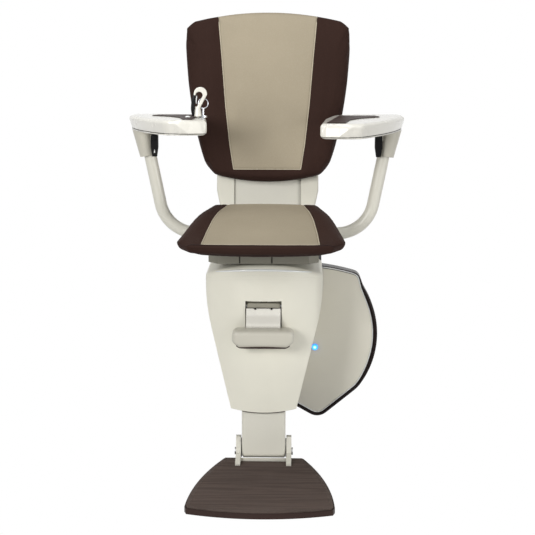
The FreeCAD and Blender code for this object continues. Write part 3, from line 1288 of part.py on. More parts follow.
def check():
    faults = []
    for thing in doc.Objects:
        if "Invalid" in thing.State or "Error" in thing.State:
            faults.append("%s is %s" % (thing.Label, thing.State))
    for name, piece in NODES.items():
        shape = piece.Shape
        if shape.isNull() or not shape.isValid() or not shape.Solids:
            faults.append("%s has no valid solid" % name)
    if faults:
        raise RuntimeError("; ".join(faults))


def write():
    os.makedirs("parts", exist_ok=True)
    for name, piece in NODES.items():
        piece.Shape.exportStep("parts/%s.step" % name)
        print(name, len(piece.Shape.Solids), round(piece.Shape.Volume / 1000, 1), "cm3")


build()
check()
write()
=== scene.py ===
import json
import math

import bmesh
import bpy
import numpy as np
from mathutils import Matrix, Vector
from mathutils.bvhtree import BVHTree
from mathutils.geometry import barycentric_transform


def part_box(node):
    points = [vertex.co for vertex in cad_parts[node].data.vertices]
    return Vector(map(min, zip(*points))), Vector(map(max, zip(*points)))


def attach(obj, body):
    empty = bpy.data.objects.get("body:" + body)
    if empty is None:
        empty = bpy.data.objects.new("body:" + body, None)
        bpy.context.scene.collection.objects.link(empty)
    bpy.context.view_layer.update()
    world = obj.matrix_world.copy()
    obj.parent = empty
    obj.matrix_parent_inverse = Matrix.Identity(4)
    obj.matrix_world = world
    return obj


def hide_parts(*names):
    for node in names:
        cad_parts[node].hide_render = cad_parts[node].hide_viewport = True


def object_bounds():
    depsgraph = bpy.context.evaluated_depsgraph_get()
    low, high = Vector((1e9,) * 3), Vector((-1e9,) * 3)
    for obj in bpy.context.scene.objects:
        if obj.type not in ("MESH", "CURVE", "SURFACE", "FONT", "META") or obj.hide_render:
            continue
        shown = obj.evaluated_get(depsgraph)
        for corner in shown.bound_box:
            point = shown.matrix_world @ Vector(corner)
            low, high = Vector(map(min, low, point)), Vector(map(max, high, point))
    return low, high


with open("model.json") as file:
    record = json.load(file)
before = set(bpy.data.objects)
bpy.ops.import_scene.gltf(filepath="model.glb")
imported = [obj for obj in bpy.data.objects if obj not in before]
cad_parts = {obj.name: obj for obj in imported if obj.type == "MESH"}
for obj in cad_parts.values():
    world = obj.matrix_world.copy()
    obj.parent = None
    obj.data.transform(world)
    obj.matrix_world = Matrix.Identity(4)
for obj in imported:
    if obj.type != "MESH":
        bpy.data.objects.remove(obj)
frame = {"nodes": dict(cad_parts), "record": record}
cad_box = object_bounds()
scene = bpy.context.scene
NODES = frame["nodes"]


# ------------------------------------------------------------------------------ materials
def tint(red, green, blue):
    """Linear colour of an sRGB colour given from 0 to 255."""
    def linear(value):
        value /= 255
        return value / 12.92 if value <= 0.04045 else ((value + 0.055) / 1.055) ** 2.4
    return (linear(red), linear(green), linear(blue), 1.0)


class Paint:
    """Node tree of one material, built a node at a time."""

    def __init__(self, name):
        self.material = bpy.data.materials.new(name)
        self.material.use_nodes = True
        self.tree = self.material.node_tree
        self.shader = self.tree.nodes["Principled BSDF"]
        self.place = self.add("ShaderNodeTexCoord").outputs["Object"]

    def put(self, socket, value):
        if isinstance(value, bpy.types.NodeSocket):
            self.tree.links.new(value, socket)
        else:
            socket.default_value = value

    def add(self, kind, settings=None, **values):
        node = self.tree.nodes.new(kind)
        for key, value in (settings or {}).items():
            setattr(node, key, value)
        for key, value in values.items():
            self.put(node.inputs[key.replace("_", " ")], value)
        return node

    def set(self, **values):
        for key, value in values.items():
            self.put(self.shader.inputs[key.replace("_", " ")], value)

    def noise(self, scale, detail=3.0, where=None, rough=0.5):
        return self.add("ShaderNodeTexNoise", Vector=where or self.place, Scale=scale,
                        Detail=detail, Roughness=rough).outputs["Fac"]

    def math(self, operation, first, second=0.0):
        node = self.add("ShaderNodeMath", {"operation": operation})
        self.put(node.inputs[0], first)
        self.put(node.inputs[1], second)
        return node.outputs[0]

    def between(self, value, low, high, to_low=0.0, to_high=1.0):
        node = self.add("ShaderNodeMapRange", {"clamp": True}, Value=value)
        self.put(node.inputs["From Min"], low)
        self.put(node.inputs["From Max"], high)
        self.put(node.inputs["To Min"], to_low)
        self.put(node.inputs["To Max"], to_high)
        return node.outputs["Result"]

    def mix(self, factor, first, second, blend="MIX"):
        node = self.add("ShaderNodeMix", {"data_type": "RGBA", "blend_type": blend})
        self.put(node.inputs["Factor"], factor)
        self.put(node.inputs[6], first)
        self.put(node.inputs[7], second)
        return node.outputs[2]

    def shade(self, colour, amount, factor):
        """Colour made lighter and darker by a factor that runs about one half."""
        low = tuple(part * (1 - amount) for part in colour[:3]) + (1.0,)
        high = tuple(min(1.0, part * (1 + amount)) for part in colour[:3]) + (1.0,)
        return self.mix(self.between(factor, 0.3, 0.7), low, high)

    def bump(self, height, strength, distance, normal=None):
        node = self.add("ShaderNodeBump", Height=height, Strength=strength, Distance=distance)
        if normal:
            self.put(node.inputs["Normal"], normal)
        return node.outputs["Normal"]

    def soft_edge(self, radius):
        return self.add("ShaderNodeBevel", {"samples": 4}, Radius=radius).outputs["Normal"]

    def painted_crevice_shade(self, distance, colour, dark):
        """Colour darkened by painted shade in creases and corners, where ambient occlusion is low."""
        occlusion = self.add("ShaderNodeAmbientOcclusion", {"samples": 6}, Distance=distance)
        return self.mix(self.between(occlusion.outputs["AO"], 0.35, 0.95), dark, colour)

    def attribute(self, name):
        return self.add("ShaderNodeAttribute", {"attribute_name": name}).outputs["Fac"]


def moulded(name, colour, rough, grain=900, depth=0.00004, coat=0.0, patch=0.03, edge=0.0008, gloss=0.5):
    """Moulded or painted hard surface: fine grain, faint cloudiness, soft edges and painted shade in creases.
    """
    paint = Paint(name)
    cloud = paint.noise(9, 4)
    base = paint.shade(colour, patch, cloud)
    # painted shade: in creases the colour falls to 0.6 of itself, by ambient occlusion
    dark = tuple(part * 0.6 for part in colour[:3]) + (1.0,)
    base = paint.painted_crevice_shade(0.008, base, dark)
    fine = paint.noise(grain, 2)
    paint.set(Base_Color=base,
              Roughness=paint.between(paint.noise(24, 5), 0.3, 0.7, rough - 0.05, rough + 0.06),
              Normal=paint.bump(fine, 0.35, depth, paint.soft_edge(edge) if edge else None),
              Coat_Weight=coat, Coat_Roughness=0.12, Specular_IOR_Level=gloss)
    return paint.material


def metal(name, colour, rough, streak=(1, 1, 1), depth=0.00002, edge=0.0005):
    """Bare metal with a stretched grain along one axis."""
    paint = Paint(name)
    stretched = paint.add("ShaderNodeMapping", Vector=paint.place, Scale=streak).outputs["Vector"]
    grain = paint.noise(700, 3, stretched)
    paint.set(Base_Color=paint.shade(colour, 0.08, grain), Metallic=1.0,
              Roughness=paint.between(grain, 0.3, 0.7, rough - 0.06, rough + 0.08),
              Normal=paint.bump(grain, 0.3, depth, paint.soft_edge(edge)))
    return paint.material


def upholstery():
    """Two-tone cover: dark smooth side panels and a pale woven middle panel, with sunk seams."""
    paint = Paint("upholstery")
    panel = paint.attribute("panel")
    inside = paint.between(panel, -0.0004, 0.0004)
    plane = paint.add("ShaderNodeAttribute", {"attribute_name": "cloth"}).outputs["Vector"]
    warp = paint.add("ShaderNodeTexWave", {"bands_direction": "X"}, Vector=plane, Scale=380.0,
                     Distortion=0.6).outputs["Fac"]
    weft = paint.add("ShaderNodeTexWave", {"bands_direction": "Y"}, Vector=plane, Scale=380.0,
                     Distortion=0.6).outputs["Fac"]
    weave = paint.math("MULTIPLY", warp, weft)
    cloud = paint.noise(7, 5)
    speck = paint.noise(420, 2)
    beige = paint.shade(tint(172, 161, 140), 0.05, cloud)
    beige = paint.mix(paint.between(weave, 0.0, 1.0, 0.0, 0.18), beige, tint(128, 116, 96))
    beige = paint.mix(paint.between(speck, 0.45, 0.75, 0.0, 0.14), beige, tint(194, 186, 168))
    brown = paint.shade(tint(54, 38, 33), 0.06, cloud)
    brown = paint.mix(paint.between(speck, 0.5, 0.8, 0.0, 0.15), brown, tint(72, 54, 48))
    colour = paint.mix(inside, brown, beige)
    # painted shade: the colour darkens beside the sunk seams at the panel's edge
    edge = paint.between(paint.math("ABSOLUTE", panel), 0.0006, 0.004, 0.75, 1.0)
    colour = paint.mix(edge, tint(40, 32, 28), colour)
    grain = paint.math("ADD", paint.math("MULTIPLY", weave, 0.7), paint.math("MULTIPLY", speck, 0.6))
    paint.set(Base_Color=colour, Roughness=paint.between(inside, 0, 1, 0.7, 0.85),
              Normal=paint.bump(grain, 0.5, 0.00012), Specular_IOR_Level=0.05)
    return paint.material


def cord_cloth(name, colour):
    """Bias-cut cloth of piping."""
    paint = Paint(name)
    twill = paint.add("ShaderNodeTexWave", {"bands_direction": "DIAGONAL"}, Vector=paint.place,
                      Scale=420.0, Distortion=0.4).outputs["Fac"]
    paint.set(Base_Color=paint.shade(colour, 0.12, paint.noise(260, 3)), Roughness=0.8,
              Normal=paint.bump(twill, 0.4, 0.0001), Specular_IOR_Level=0.15)
    return paint.material


def rubber_mat():
    """Dark ribbed mat, dusty and slightly scuffed."""
    paint = Paint("mat_rubber")
    scuff = paint.noise(26, 6, rough=0.65)
    rows = paint.noise(60, 4, paint.add("ShaderNodeMapping", Vector=paint.place,
                                        Scale=(0.12, 3.0, 1.0)).outputs["Vector"])
    base = paint.shade(tint(86, 74, 68), 0.1, scuff)
    base = paint.mix(paint.between(rows, 0.42, 0.62, 0, 0.55), base, tint(62, 52, 47))
    paint.set(Base_Color=base, Roughness=paint.between(scuff, 0.3, 0.7, 0.6, 0.85),
              Normal=paint.bump(paint.noise(1300, 3), 0.5, 0.0001, paint.soft_edge(0.0004)),
              Specular_IOR_Level=0.2)
    return paint.material


def lit_lens(centre, radius):
    """Blue lamp lens, white-hot in the middle."""
    paint = Paint("lamp_lens")
    gap = paint.add("ShaderNodeVectorMath", {"operation": "DISTANCE"})
    paint.put(gap.inputs[0], paint.place)
    paint.put(gap.inputs[1], centre)
    far = paint.math("DIVIDE", gap.outputs["Value"], radius)
    glow = paint.mix(paint.between(far, 0.1, 0.55), (0.75, 0.95, 1, 1), (0.03, 0.50, 1.0, 1))
    glow = paint.mix(paint.between(far, 0.7, 1.05), glow, (0.01, 0.13, 0.95, 1))
    paint.set(Base_Color=(0.1, 0.4, 0.9, 1), Roughness=0.2, Emission_Color=glow,
              Emission_Strength=paint.between(far, 0.2, 1.0, 1.5, 1.0))
    return paint.material


IVORY = tint(232, 229, 214)
MATERIALS = {
    "ivory_cover": moulded("ivory_cover", IVORY, 0.42),
    "ivory_shade": moulded("ivory_shade", tint(226, 222, 208), 0.45),
    "ivory_paint": moulded("ivory_paint", tint(226, 223, 210), 0.36, 500, 0.00003, 0.15),
    "ivory_grip": moulded("ivory_grip", tint(234, 231, 221), 0.24, 600, 0.00002, 0.4),
    "dark_trim": moulded("dark_trim", tint(26, 16, 15), 0.25, 500, 0.00002, gloss=0.12),
    "brown_plastic": moulded("brown_plastic", tint(54, 40, 36), 0.5, gloss=0.15),
    "black_plastic": moulded("black_plastic", tint(14, 13, 14), 0.3, 500, 0.00002, gloss=0.12),
    "pale_button": moulded("pale_button", tint(240, 242, 240), 0.15, 500, 0.00001, 0.8),
    "guide_plastic": moulded("guide_plastic", tint(40, 40, 42), 0.45),
    "roller_tread": moulded("roller_tread", tint(52, 52, 52), 0.6),
    "motor_black": moulded("motor_black", tint(38, 38, 40), 0.4),
    "frame_paint": moulded("frame_paint", tint(96, 96, 98), 0.42),
    "battery_case": moulded("battery_case", tint(44, 44, 46), 0.45),
    "circuit_board": moulded("circuit_board", tint(30, 92, 52), 0.35),
    "cast_metal": metal("cast_metal", tint(170, 170, 172), 0.5, depth=0.00008),
    "bright_steel": metal("bright_steel", tint(200, 200, 202), 0.28, (1, 1, 6)),
    "chrome_metal": metal("chrome_metal", tint(214, 216, 222), 0.1),
    "brown_mat": rubber_mat(),
    "brown_fabric": upholstery(),
}
low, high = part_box("status_lamp")
LAMP = (low + high) / 2
MATERIALS["blue_lamp"] = lit_lens((LAMP.x, low.y, LAMP.z), (high.x - low.x) / 2)
PIPING = cord_cloth("piping_cloth", tint(196, 186, 164))
SKIN = moulded("ivory_skin", IVORY, 0.42, edge=0.0)
WELT = cord_cloth("welt_cloth", tint(44, 31, 28))
# painted shade: dark colour of tubes laid in seams, grooves and gaps
SEAM_SHADE = moulded("seam_shadow", tint(46, 42, 36), 0.8, gloss=0.1)

# painted shade: darker ivory for the lever arm inside the casing's recess
SHADED = moulded("ivory_recess_painted_shade", tint(168, 164, 150), 0.5)
# painted shade: dark ivory for the swivel plate in the seat's shadow
PLATE_PAINTED_SHADE = moulded("plate_painted_shade", tint(122, 119, 106), 0.45, 500, 0.00003)
# painted shade: darker ivory for the lever pad and the arm sockets
PAD_PAINTED_SHADE = moulded("ivory_pad_painted_shade", tint(206, 202, 188), 0.34, 600, 0.00002, 0.2)

for part in frame["record"]["subparts"]:
    slots = NODES[part["node"]].data.materials
    slots.clear()
    slots.append(MATERIALS[part["material_slot"]])
# darker ivory copies as painted shade for these nodes
for node, shaded_copy in (("lever_arm", SHADED), ("swivel_plate", PLATE_PAINTED_SHADE), ("arm_socket_left", PAD_PAINTED_SHADE),
                     ("arm_socket_right", PAD_PAINTED_SHADE)):
    NODES[node].data.materials[0] = shaded_copy


# ------------------------------------------------------------------------------ mesh helpers
def made(name, mesh, material, smooth=True):
    """Object of a finished mesh, linked to the scene, at the origin."""
    thing = bpy.data.objects.new(name, mesh)
    scene.collection.objects.link(thing)
    mesh.materials.clear()
    mesh.materials.append(material)
    mesh.shade_smooth() if smooth else mesh.shade_flat()
    return thing


def settled(thing):
    """Mesh of an object with its modifiers applied; the object keeps none."""
    graph = bpy.context.evaluated_depsgraph_get()
    mesh = bpy.data.meshes.new_from_object(thing.evaluated_get(graph))
    thing.modifiers.clear()
    old = thing.data
    thing.data = mesh
    if old.users == 0 and isinstance(old, bpy.types.Mesh):
        bpy.data.meshes.remove(old)
    return thing


def remeshed(name, node, voxel, material):
    """Even-grained copy of a CAD node's mesh."""
    thing = made(name, NODES[node].data.copy(), material)
    step = thing.modifiers.new("remesh", "REMESH")
    step.mode = "VOXEL"
    step.voxel_size = voxel
    return settled(thing)


def points_of(thing):
    flat = np.empty(len(thing.data.vertices) * 3)
    thing.data.vertices.foreach_get("co", flat)
    return flat.reshape(-1, 3)


def move_points(thing, points):
    thing.data.vertices.foreach_set("co", np.asarray(points, float).ravel())
    thing.data.update()


def subdivided(thing, levels=1):
    step = thing.modifiers.new("subdivide", "SUBSURF")
    step.levels = step.render_levels = levels
    return settled(thing)


def smoothed(thing, factor, rounds):
    step = thing.modifiers.new("smooth", "SMOOTH")
    step.factor = factor
    step.iterations = rounds
    return settled(thing)


def tube(name, points, radius, material, radii=None, sides=3, closed=False):
    """Round tube along points, thicker or thinner by radii."""
    curve = bpy.data.curves.new(name, "CURVE")
    curve.dimensions = "3D"
    curve.bevel_depth = radius
    curve.bevel_resolution = sides
    curve.use_fill_caps = True
    spline = curve.splines.new("NURBS")
    spline.points.add(len(points) - 1)
    for index, point in enumerate(points):
        spline.points[index].co = (*point, 1)
        spline.points[index].radius = radii[index] if radii else 1.0
    spline.order_u = 4
    spline.use_endpoint_u = not closed
    spline.use_cyclic_u = closed
    spline.resolution_u = 6
    thing = bpy.data.objects.new(name, curve)
    scene.collection.objects.link(thing)
    graph = bpy.context.evaluated_depsgraph_get()
    mesh = bpy.data.meshes.new_from_object(thing.evaluated_get(graph))
    bpy.data.objects.remove(thing)
    bpy.data.curves.remove(curve)
    return made(name, mesh, material)


def fitted(piece, body, slot, *replaced):
    """Let a finished piece ride on its body and stand for CAD nodes."""
    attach(piece, body)
    if replaced:
        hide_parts(*replaced)
    return piece


# ------------------------------------------------------------------------------ cushions
def puff(thing, held, cap, pressure=4.0, frames=20):
    """Blow a cushion up as cloth, held at the points where held is 1, and cap its swelling."""
    start = points_of(thing)
    pins = thing.vertex_groups.new(name="held")
    for index in np.nonzero(held > 0.01)[0]:
        pins.add([int(index)], float(held[index]), "REPLACE")
    cloth = thing.modifiers.new("cloth", "CLOTH")
    settings = cloth.settings
    settings.quality = 5
    settings.mass = 0.3
    settings.tension_stiffness = 15
    settings.compression_stiffness = 15
    settings.shear_stiffness = 5
    settings.bending_stiffness = 0.5
    settings.use_pressure = True
    settings.uniform_pressure_force = pressure
    settings.vertex_group_mass = "held"
    settings.effector_weights.gravity = 0
    cloth.collision_settings.use_collision = False
    cloth.point_cache.frame_start = 1
    cloth.point_cache.frame_end = frames
    for number in range(1, frames + 1):
        scene.frame_set(number)
    settled(thing)
    scene.frame_set(1)
    thing.vertex_groups.clear()
    shift = points_of(thing) - start
    length = np.linalg.norm(shift, axis=1, keepdims=True)
    move_points(thing, start + shift * np.minimum(1.0, cap / np.maximum(length, 1e-9)))
    return thing


def mark(thing, panel, plane):
    """Store each point's distance inside the middle panel and its place in the cloth's plane."""
    data = thing.data
    data.attributes.new("panel", "FLOAT", "POINT").data.foreach_set("value", panel.astype(np.float32))
    flat = plane.astype(np.float32).ravel()
    data.attributes.new("cloth", "FLOAT_VECTOR", "POINT").data.foreach_set("vector", flat)


def ease(value, low, high):
    part = np.clip((value - low) / (high - low), 0, 1)
    return part * part * (3 - 2 * part)


BACK_FOOT = Vector((0, -0.082, 0.384))
BACK_LEAN = math.radians(9.4)
BACK_UP = Vector((0, math.sin(BACK_LEAN), math.cos(BACK_LEAN)))
BACK_OUT = Vector((0, -math.cos(BACK_LEAN), math.sin(BACK_LEAN)))
BACK_TALL = 0.372
BACK_THICK = 0.045
PANEL_FOOT = 0.026
PANEL_HEIGHTS = (0.0, 0.026, 0.080, 0.166, 0.275, 0.372)
PANEL_HALVES = (0.070, 0.074, 0.0825, 0.0920, 0.1008, 0.1095)


def in_back(points):
    """Across, up and outward coordinates of points in the backrest's plane."""
    shift = np.asarray(points) - np.array(BACK_FOOT)
    return shift[:, 0], shift @ np.array(BACK_UP), shift @ np.array(BACK_OUT)


def back_panel(across, up):
    half = np.interp(up, PANEL_HEIGHTS, PANEL_HALVES)
    return np.minimum(half - np.abs(across), up - PANEL_FOOT)


def back_cushion():
    thing = remeshed("back_cushion_cover", "back_cushion", 0.005, MATERIALS["brown_fabric"])
    across, up, out = in_back(points_of(thing))
    seam = 1 - ease(np.abs(back_panel(across, up)), 0.002, 0.009)
    held = np.maximum(1 - ease(out, -BACK_THICK, -BACK_THICK + 0.012), seam * (out > -0.008))
    puff(thing, held, 0.006)
    subdivided(thing)
    points = points_of(thing)
    across, up, out = in_back(points)
    front = ease(out, -0.02, -0.004)
    dome = 0.006 * (1 - (across / 0.19) ** 2) * (1 - ((up - 0.19) / 0.2) ** 2)
    groove = 0.0012 * (1 - ease(np.abs(back_panel(across, up)), 0.0, 0.005))
    points += np.outer(front * (dome - groove), np.array(BACK_OUT))
    move_points(thing, points)
    across, up, out = in_back(points)
    mark(thing, back_panel(across, up), np.column_stack((across, up, out)))
    return fitted(thing, "seat_carrier", "brown_fabric", "back_cushion")


def laid_on(surface, spots, start_out, direction, sink):
    """Points of a line dropped onto a surface along a direction, sunk a little into it."""
    tree = BVHTree.FromObject(surface, bpy.context.evaluated_depsgraph_get())
    line = []
    for spot in spots:
        hit = tree.ray_cast(spot - direction * start_out, direction)[0]
        if hit is not None:
            line.append(hit + direction * sink)
    return line


def back_piping(cushion):
    pieces = []
    for side in (-1, 1):
        spots = []
        for up in np.linspace(PANEL_FOOT, BACK_TALL - 0.012, 40):
            half = float(np.interp(up, PANEL_HEIGHTS, PANEL_HALVES))
            spots.append(BACK_FOOT + Vector((side * half, 0, 0)) + BACK_UP * up)
        line = laid_on(cushion, spots, 0.05, -BACK_OUT, 0.0004)
        name = "back_piping_" + ("right" if side > 0 else "left")
        pieces.append(tube(name, line, 0.0011, PIPING))
    half = float(np.interp(PANEL_FOOT, PANEL_HEIGHTS, PANEL_HALVES))
    spots = [BACK_FOOT + Vector((x, 0, 0)) + BACK_UP * PANEL_FOOT for x in np.linspace(-half, half, 20)]
    pieces.append(tube("back_piping_foot", laid_on(cushion, spots, 0.05, -BACK_OUT, 0.0004), 0.0011, PIPING))
    for piece in pieces:
        fitted(piece, "seat_carrier", "brown_fabric")


SEAT_LOW, SEAT_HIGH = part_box("seat_cushion")
SEAT_DEPTH = SEAT_HIGH.y - SEAT_LOW.y
SEAT_SPANS = (0.0, 0.09, 0.18, 0.27, 0.34)
SEAT_HALVES = (0.078, 0.0905, 0.1005, 0.1075, 0.1105)


def seat_front(x):
    """Distance from the seat's back edge to its bowed front edge, at a distance from the middle."""
    return SEAT_DEPTH - 0.018 * (np.abs(x) / 0.1365) ** 2


def seat_panel(x, back):
    half = np.interp(back, SEAT_SPANS, SEAT_HALVES)
    return np.minimum(half - np.abs(x), seat_front(x) - 0.009 - back)


def seat_cushion():
    thing = remeshed("seat_cushion_cover", "seat_cushion", 0.005, MATERIALS["brown_fabric"])
    points = points_of(thing)
    seam = 1 - ease(np.abs(seat_panel(points[:, 0], SEAT_HIGH.y - points[:, 1])), 0.002, 0.009)
    top = SEAT_HIGH.z - points[:, 2]
    held = np.maximum(1 - ease(points[:, 2] - SEAT_LOW.z, 0, 0.012), seam * (top < 0.008))
    puff(thing, held, 0.006)
    subdivided(thing)
    points = points_of(thing)
    x, back = points[:, 0], SEAT_HIGH.y - points[:, 1]
    upper = ease(points[:, 2], SEAT_LOW.z + 0.012, SEAT_HIGH.z - 0.004)
    slope = -0.025 * ease(back, 0.10, SEAT_DEPTH)
    dome = 0.004 * (1 - (x / 0.16) ** 2)
    groove = 0.0012 * (1 - ease(np.abs(seat_panel(x, back)), 0.0, 0.005))
    points[:, 2] += upper * (slope + dome - groove)
    move_points(thing, points)
    mark(thing, np.where(upper > 0, seat_panel(x, back), -0.01), np.column_stack((x, back, points[:, 2])))
    return fitted(thing, "seat", "brown_fabric", "seat_cushion")


def seat_piping(cushion):
    down = Vector((0, 0, -1))

    def line(spots):
        return laid_on(cushion, [Vector((x, SEAT_HIGH.y - back, SEAT_HIGH.z)) for x, back in spots],
                       0.05, down, 0.0004)
    for side in (-1, 1):
        backs = np.linspace(0.012, SEAT_DEPTH - 0.0215, 30)
        spots = [(side * float(np.interp(back, SEAT_SPANS, SEAT_HALVES)), back) for back in backs]
        name = "seat_piping_" + ("right" if side > 0 else "left")
        fitted(tube(name, line(spots), 0.0011, PIPING), "seat", "brown_fabric")
    spots = [(x, float(seat_front(x)) - 0.008) for x in np.linspace(-0.136, 0.136, 40)]
    fitted(tube("seat_welt", line(spots), 0.0018, WELT), "seat", "brown_fabric")
    spots = [(x, float(seat_front(x)) - 0.0105) for x in np.linspace(-0.109, 0.109, 30)]
    fitted(tube("seat_piping_front", line(spots), 0.0010, PIPING), "seat", "brown_fabric")


def pan_edge():
    """Rounded seat pan, drawn in under the cushion."""
    pan = remeshed("seat_pan_shell", "seat_pan", 0.0025, MATERIALS["brown_plastic"])
    smoothed(pan, 0.5, 12)
    points = points_of(pan)
    middle = (SEAT_LOW + SEAT_HIGH) / 2
    plate = ease(points[:, 2], SEAT_LOW.z - 0.012, SEAT_LOW.z - 0.004)
    ahead = ease(-points[:, 1], -middle.y, -SEAT_LOW.y - 0.04)
    points[:, 0] *= 1 - 0.05 * plate * ahead
    points[:, 1] += 0.008 * plate * ahead
    move_points(pan, points)
    fitted(pan, "seat", "brown_plastic", "seat_pan")


# ------------------------------------------------------------------------------ grown repeats
class Grower:
    """Geometry Nodes group with named inputs, ending in real geometry and one material."""

    def __init__(self, name, **inputs):
        self.group = bpy.data.node_groups.new(name, "GeometryNodeTree")
        for label, (kind, default) in inputs.items():
            socket = self.group.interface.new_socket(label, in_out="INPUT", socket_type=kind)
            if default is not None:
                socket.default_value = default
        self.group.interface.new_socket("Material", in_out="INPUT", socket_type="NodeSocketMaterial")
        self.group.interface.new_socket("Geometry", in_out="OUTPUT", socket_type="NodeSocketGeometry")
        self.given = self.add("NodeGroupInput").outputs

    def add(self, kind, settings=None, **inputs):
        node = self.group.nodes.new(kind)
        for key, value in (settings or {}).items():
            setattr(node, key, value)
        for key, value in inputs.items():
            self.put(node.inputs[key.replace("_", " ")], value)
        return node

    def put(self, socket, value):
        if isinstance(value, bpy.types.NodeSocket):
            self.group.links.new(value, socket)
        else:
            socket.default_value = value

    def scaled(self, value, factor):
        node = self.add("ShaderNodeMath", {"operation": "MULTIPLY"})
        self.put(node.inputs[0], value)
        self.put(node.inputs[1], factor)
        return node.outputs[0]

    def close(self, instances):
        real = self.add("GeometryNodeRealizeInstances", Geometry=instances)
        done = self.add("GeometryNodeSetMaterial", Geometry=real.outputs[0],
                        Material=self.given["Material"])
        self.put(self.add("NodeGroupOutput").inputs[0], done.outputs[0])

    def grow(self, name, mesh, material, **values):
        """Plain mesh object grown by the group on a mesh."""
        thing = made(name, mesh, material)
        step = thing.modifiers.new("grow", "NODES")
        step.node_group = self.group
        values["Material"] = material
        for item in self.group.interface.items_tree:
            if item.in_out == "INPUT" and item.name in values:
                step[item.identifier] = values[item.name]
        return settled(thing)


def rib_grower(outline):
    """Row of rounded ribs whose length follows an outline given as (share, half width over 0.2)."""
    grower = Grower("foot_ribs", Count=("NodeSocketInt", 40), Pitch=("NodeSocketFloat", 0.006),
                    Radius=("NodeSocketFloat", 0.001), Start=("NodeSocketVector", None))
    add, given = grower.add, grower.given
    step = add("ShaderNodeCombineXYZ", Y=grower.scaled(given["Pitch"], -1.0))
    row = add("GeometryNodeMeshLine", Count=given["Count"], Start_Location=given["Start"],
              Offset=step.outputs[0])
    share = add("ShaderNodeMath", {"operation": "DIVIDE"})
    grower.put(share.inputs[0], add("GeometryNodeInputIndex").outputs[0])
    grower.put(share.inputs[1], given["Count"])
    width = add("ShaderNodeFloatCurve", Value=share.outputs[0])
    curve = width.mapping.curves[0]
    curve.points[0].location = outline[0]
    curve.points[1].location = outline[-1]
    for spot in outline[1:-1]:
        curve.points.new(*spot)
    width.mapping.update()
    size = add("ShaderNodeCombineXYZ", X=grower.scaled(width.outputs[0], 0.2), Y=1.0, Z=1.0)
    bar = add("GeometryNodeMeshCylinder", Vertices=8, Radius=given["Radius"], Depth=2.0)
    lying = add("GeometryNodeTransform", Geometry=bar.outputs["Mesh"], Rotation=(0, math.pi / 2, 0))
    placed = add("GeometryNodeInstanceOnPoints", Points=row.outputs[0], Instance=lying.outputs[0],
                 Scale=size.outputs[0])
    grower.close(placed.outputs[0])
    return grower


# ------------------------------------------------------------------------------ lines on surfaces
def sections(mesh, spot, normal):
    """Closed loops, longest first, where a mesh meets a plane."""
    cut = bmesh.new()
    cut.from_mesh(mesh)
    bmesh.ops.remove_doubles(cut, verts=cut.verts, dist=0.000001)
    bmesh.ops.bisect_plane(cut, geom=cut.verts[:] + cut.edges[:] + cut.faces[:], dist=0.0000001,
                           plane_co=spot, plane_no=normal, clear_inner=True, clear_outer=True)
    left, loops = set(cut.verts), []
    while left:
        vert = left.pop()
        loop = [vert.co.copy()]
        while vert:
            ahead = [edge.other_vert(vert) for edge in vert.link_edges]
            vert = next((other for other in ahead if other in left), None)
            if vert:
                left.remove(vert)
                loop.append(vert.co.copy())
        loops.append(loop)
    cut.free()

    def length(loop):
        return sum((b - a).length for a, b in zip(loop, loop[1:]))
    return sorted(loops, key=length, reverse=True)


def spaced(loop, count, inset=0.0, normal=None):
    """Evenly spaced points of a closed loop, moved towards its inside in the plane of the normal."""
    points = np.array([tuple(point) for point in loop] + [tuple(loop[0])])
    along = np.concatenate(([0], np.cumsum(np.linalg.norm(np.diff(points, axis=0), axis=1))))
    marks = np.linspace(0, along[-1], count, endpoint=False)
    even = np.column_stack([np.interp(marks, along, points[:, axis]) for axis in range(3)])
    if normal:
        tangent = np.roll(even, -2, axis=0) - np.roll(even, 2, axis=0)
        inward = np.cross(tangent, np.array(normal))
        inward /= np.maximum(np.linalg.norm(inward, axis=1, keepdims=True), 1e-9)
        if np.sum(inward * (even.mean(axis=0) - even)) < 0:
            inward = -inward
        even = even + inward * np.reshape(inset, (-1, 1))
    return [Vector(point) for point in even]


# ------------------------------------------------------------------------------ casing and covers
CASING_HALF = 0.1215
CORNER_FALL = 0.015
LIP_DROP = 0.011


def arched(points):
    """Lowers the casing's top towards its corners."""
    across = np.clip(np.abs(points[:, 0]) / CASING_HALF, 0, 1)
    points[:, 2] -= CORNER_FALL * across ** 2 * ease(points[:, 2], 0.165, 0.235)
    return points


def keep_normals(mesh, source):
    """Gives each corner of a cut mesh the smooth normal of the surface that it was cut from."""
    source.calc_loop_triangles()
    triangles, corners = source.loop_triangles, source.corner_normals
    places = [vertex.co for vertex in source.vertices]
    tree = BVHTree.FromPolygons(places, [triangle.vertices for triangle in triangles])
    normals = []
    for face in mesh.polygons:
        for index in face.vertices:
            spot = mesh.vertices[index].co
            triangle = triangles[tree.find_nearest(spot.lerp(face.center, 0.1))[2]]
            ends = [places[i] for i in triangle.vertices] + [corners[i].vector for i in triangle.loops]
            normals.append(barycentric_transform(spot, *ends).normalized())
    mesh.normals_split_custom_set(normals)


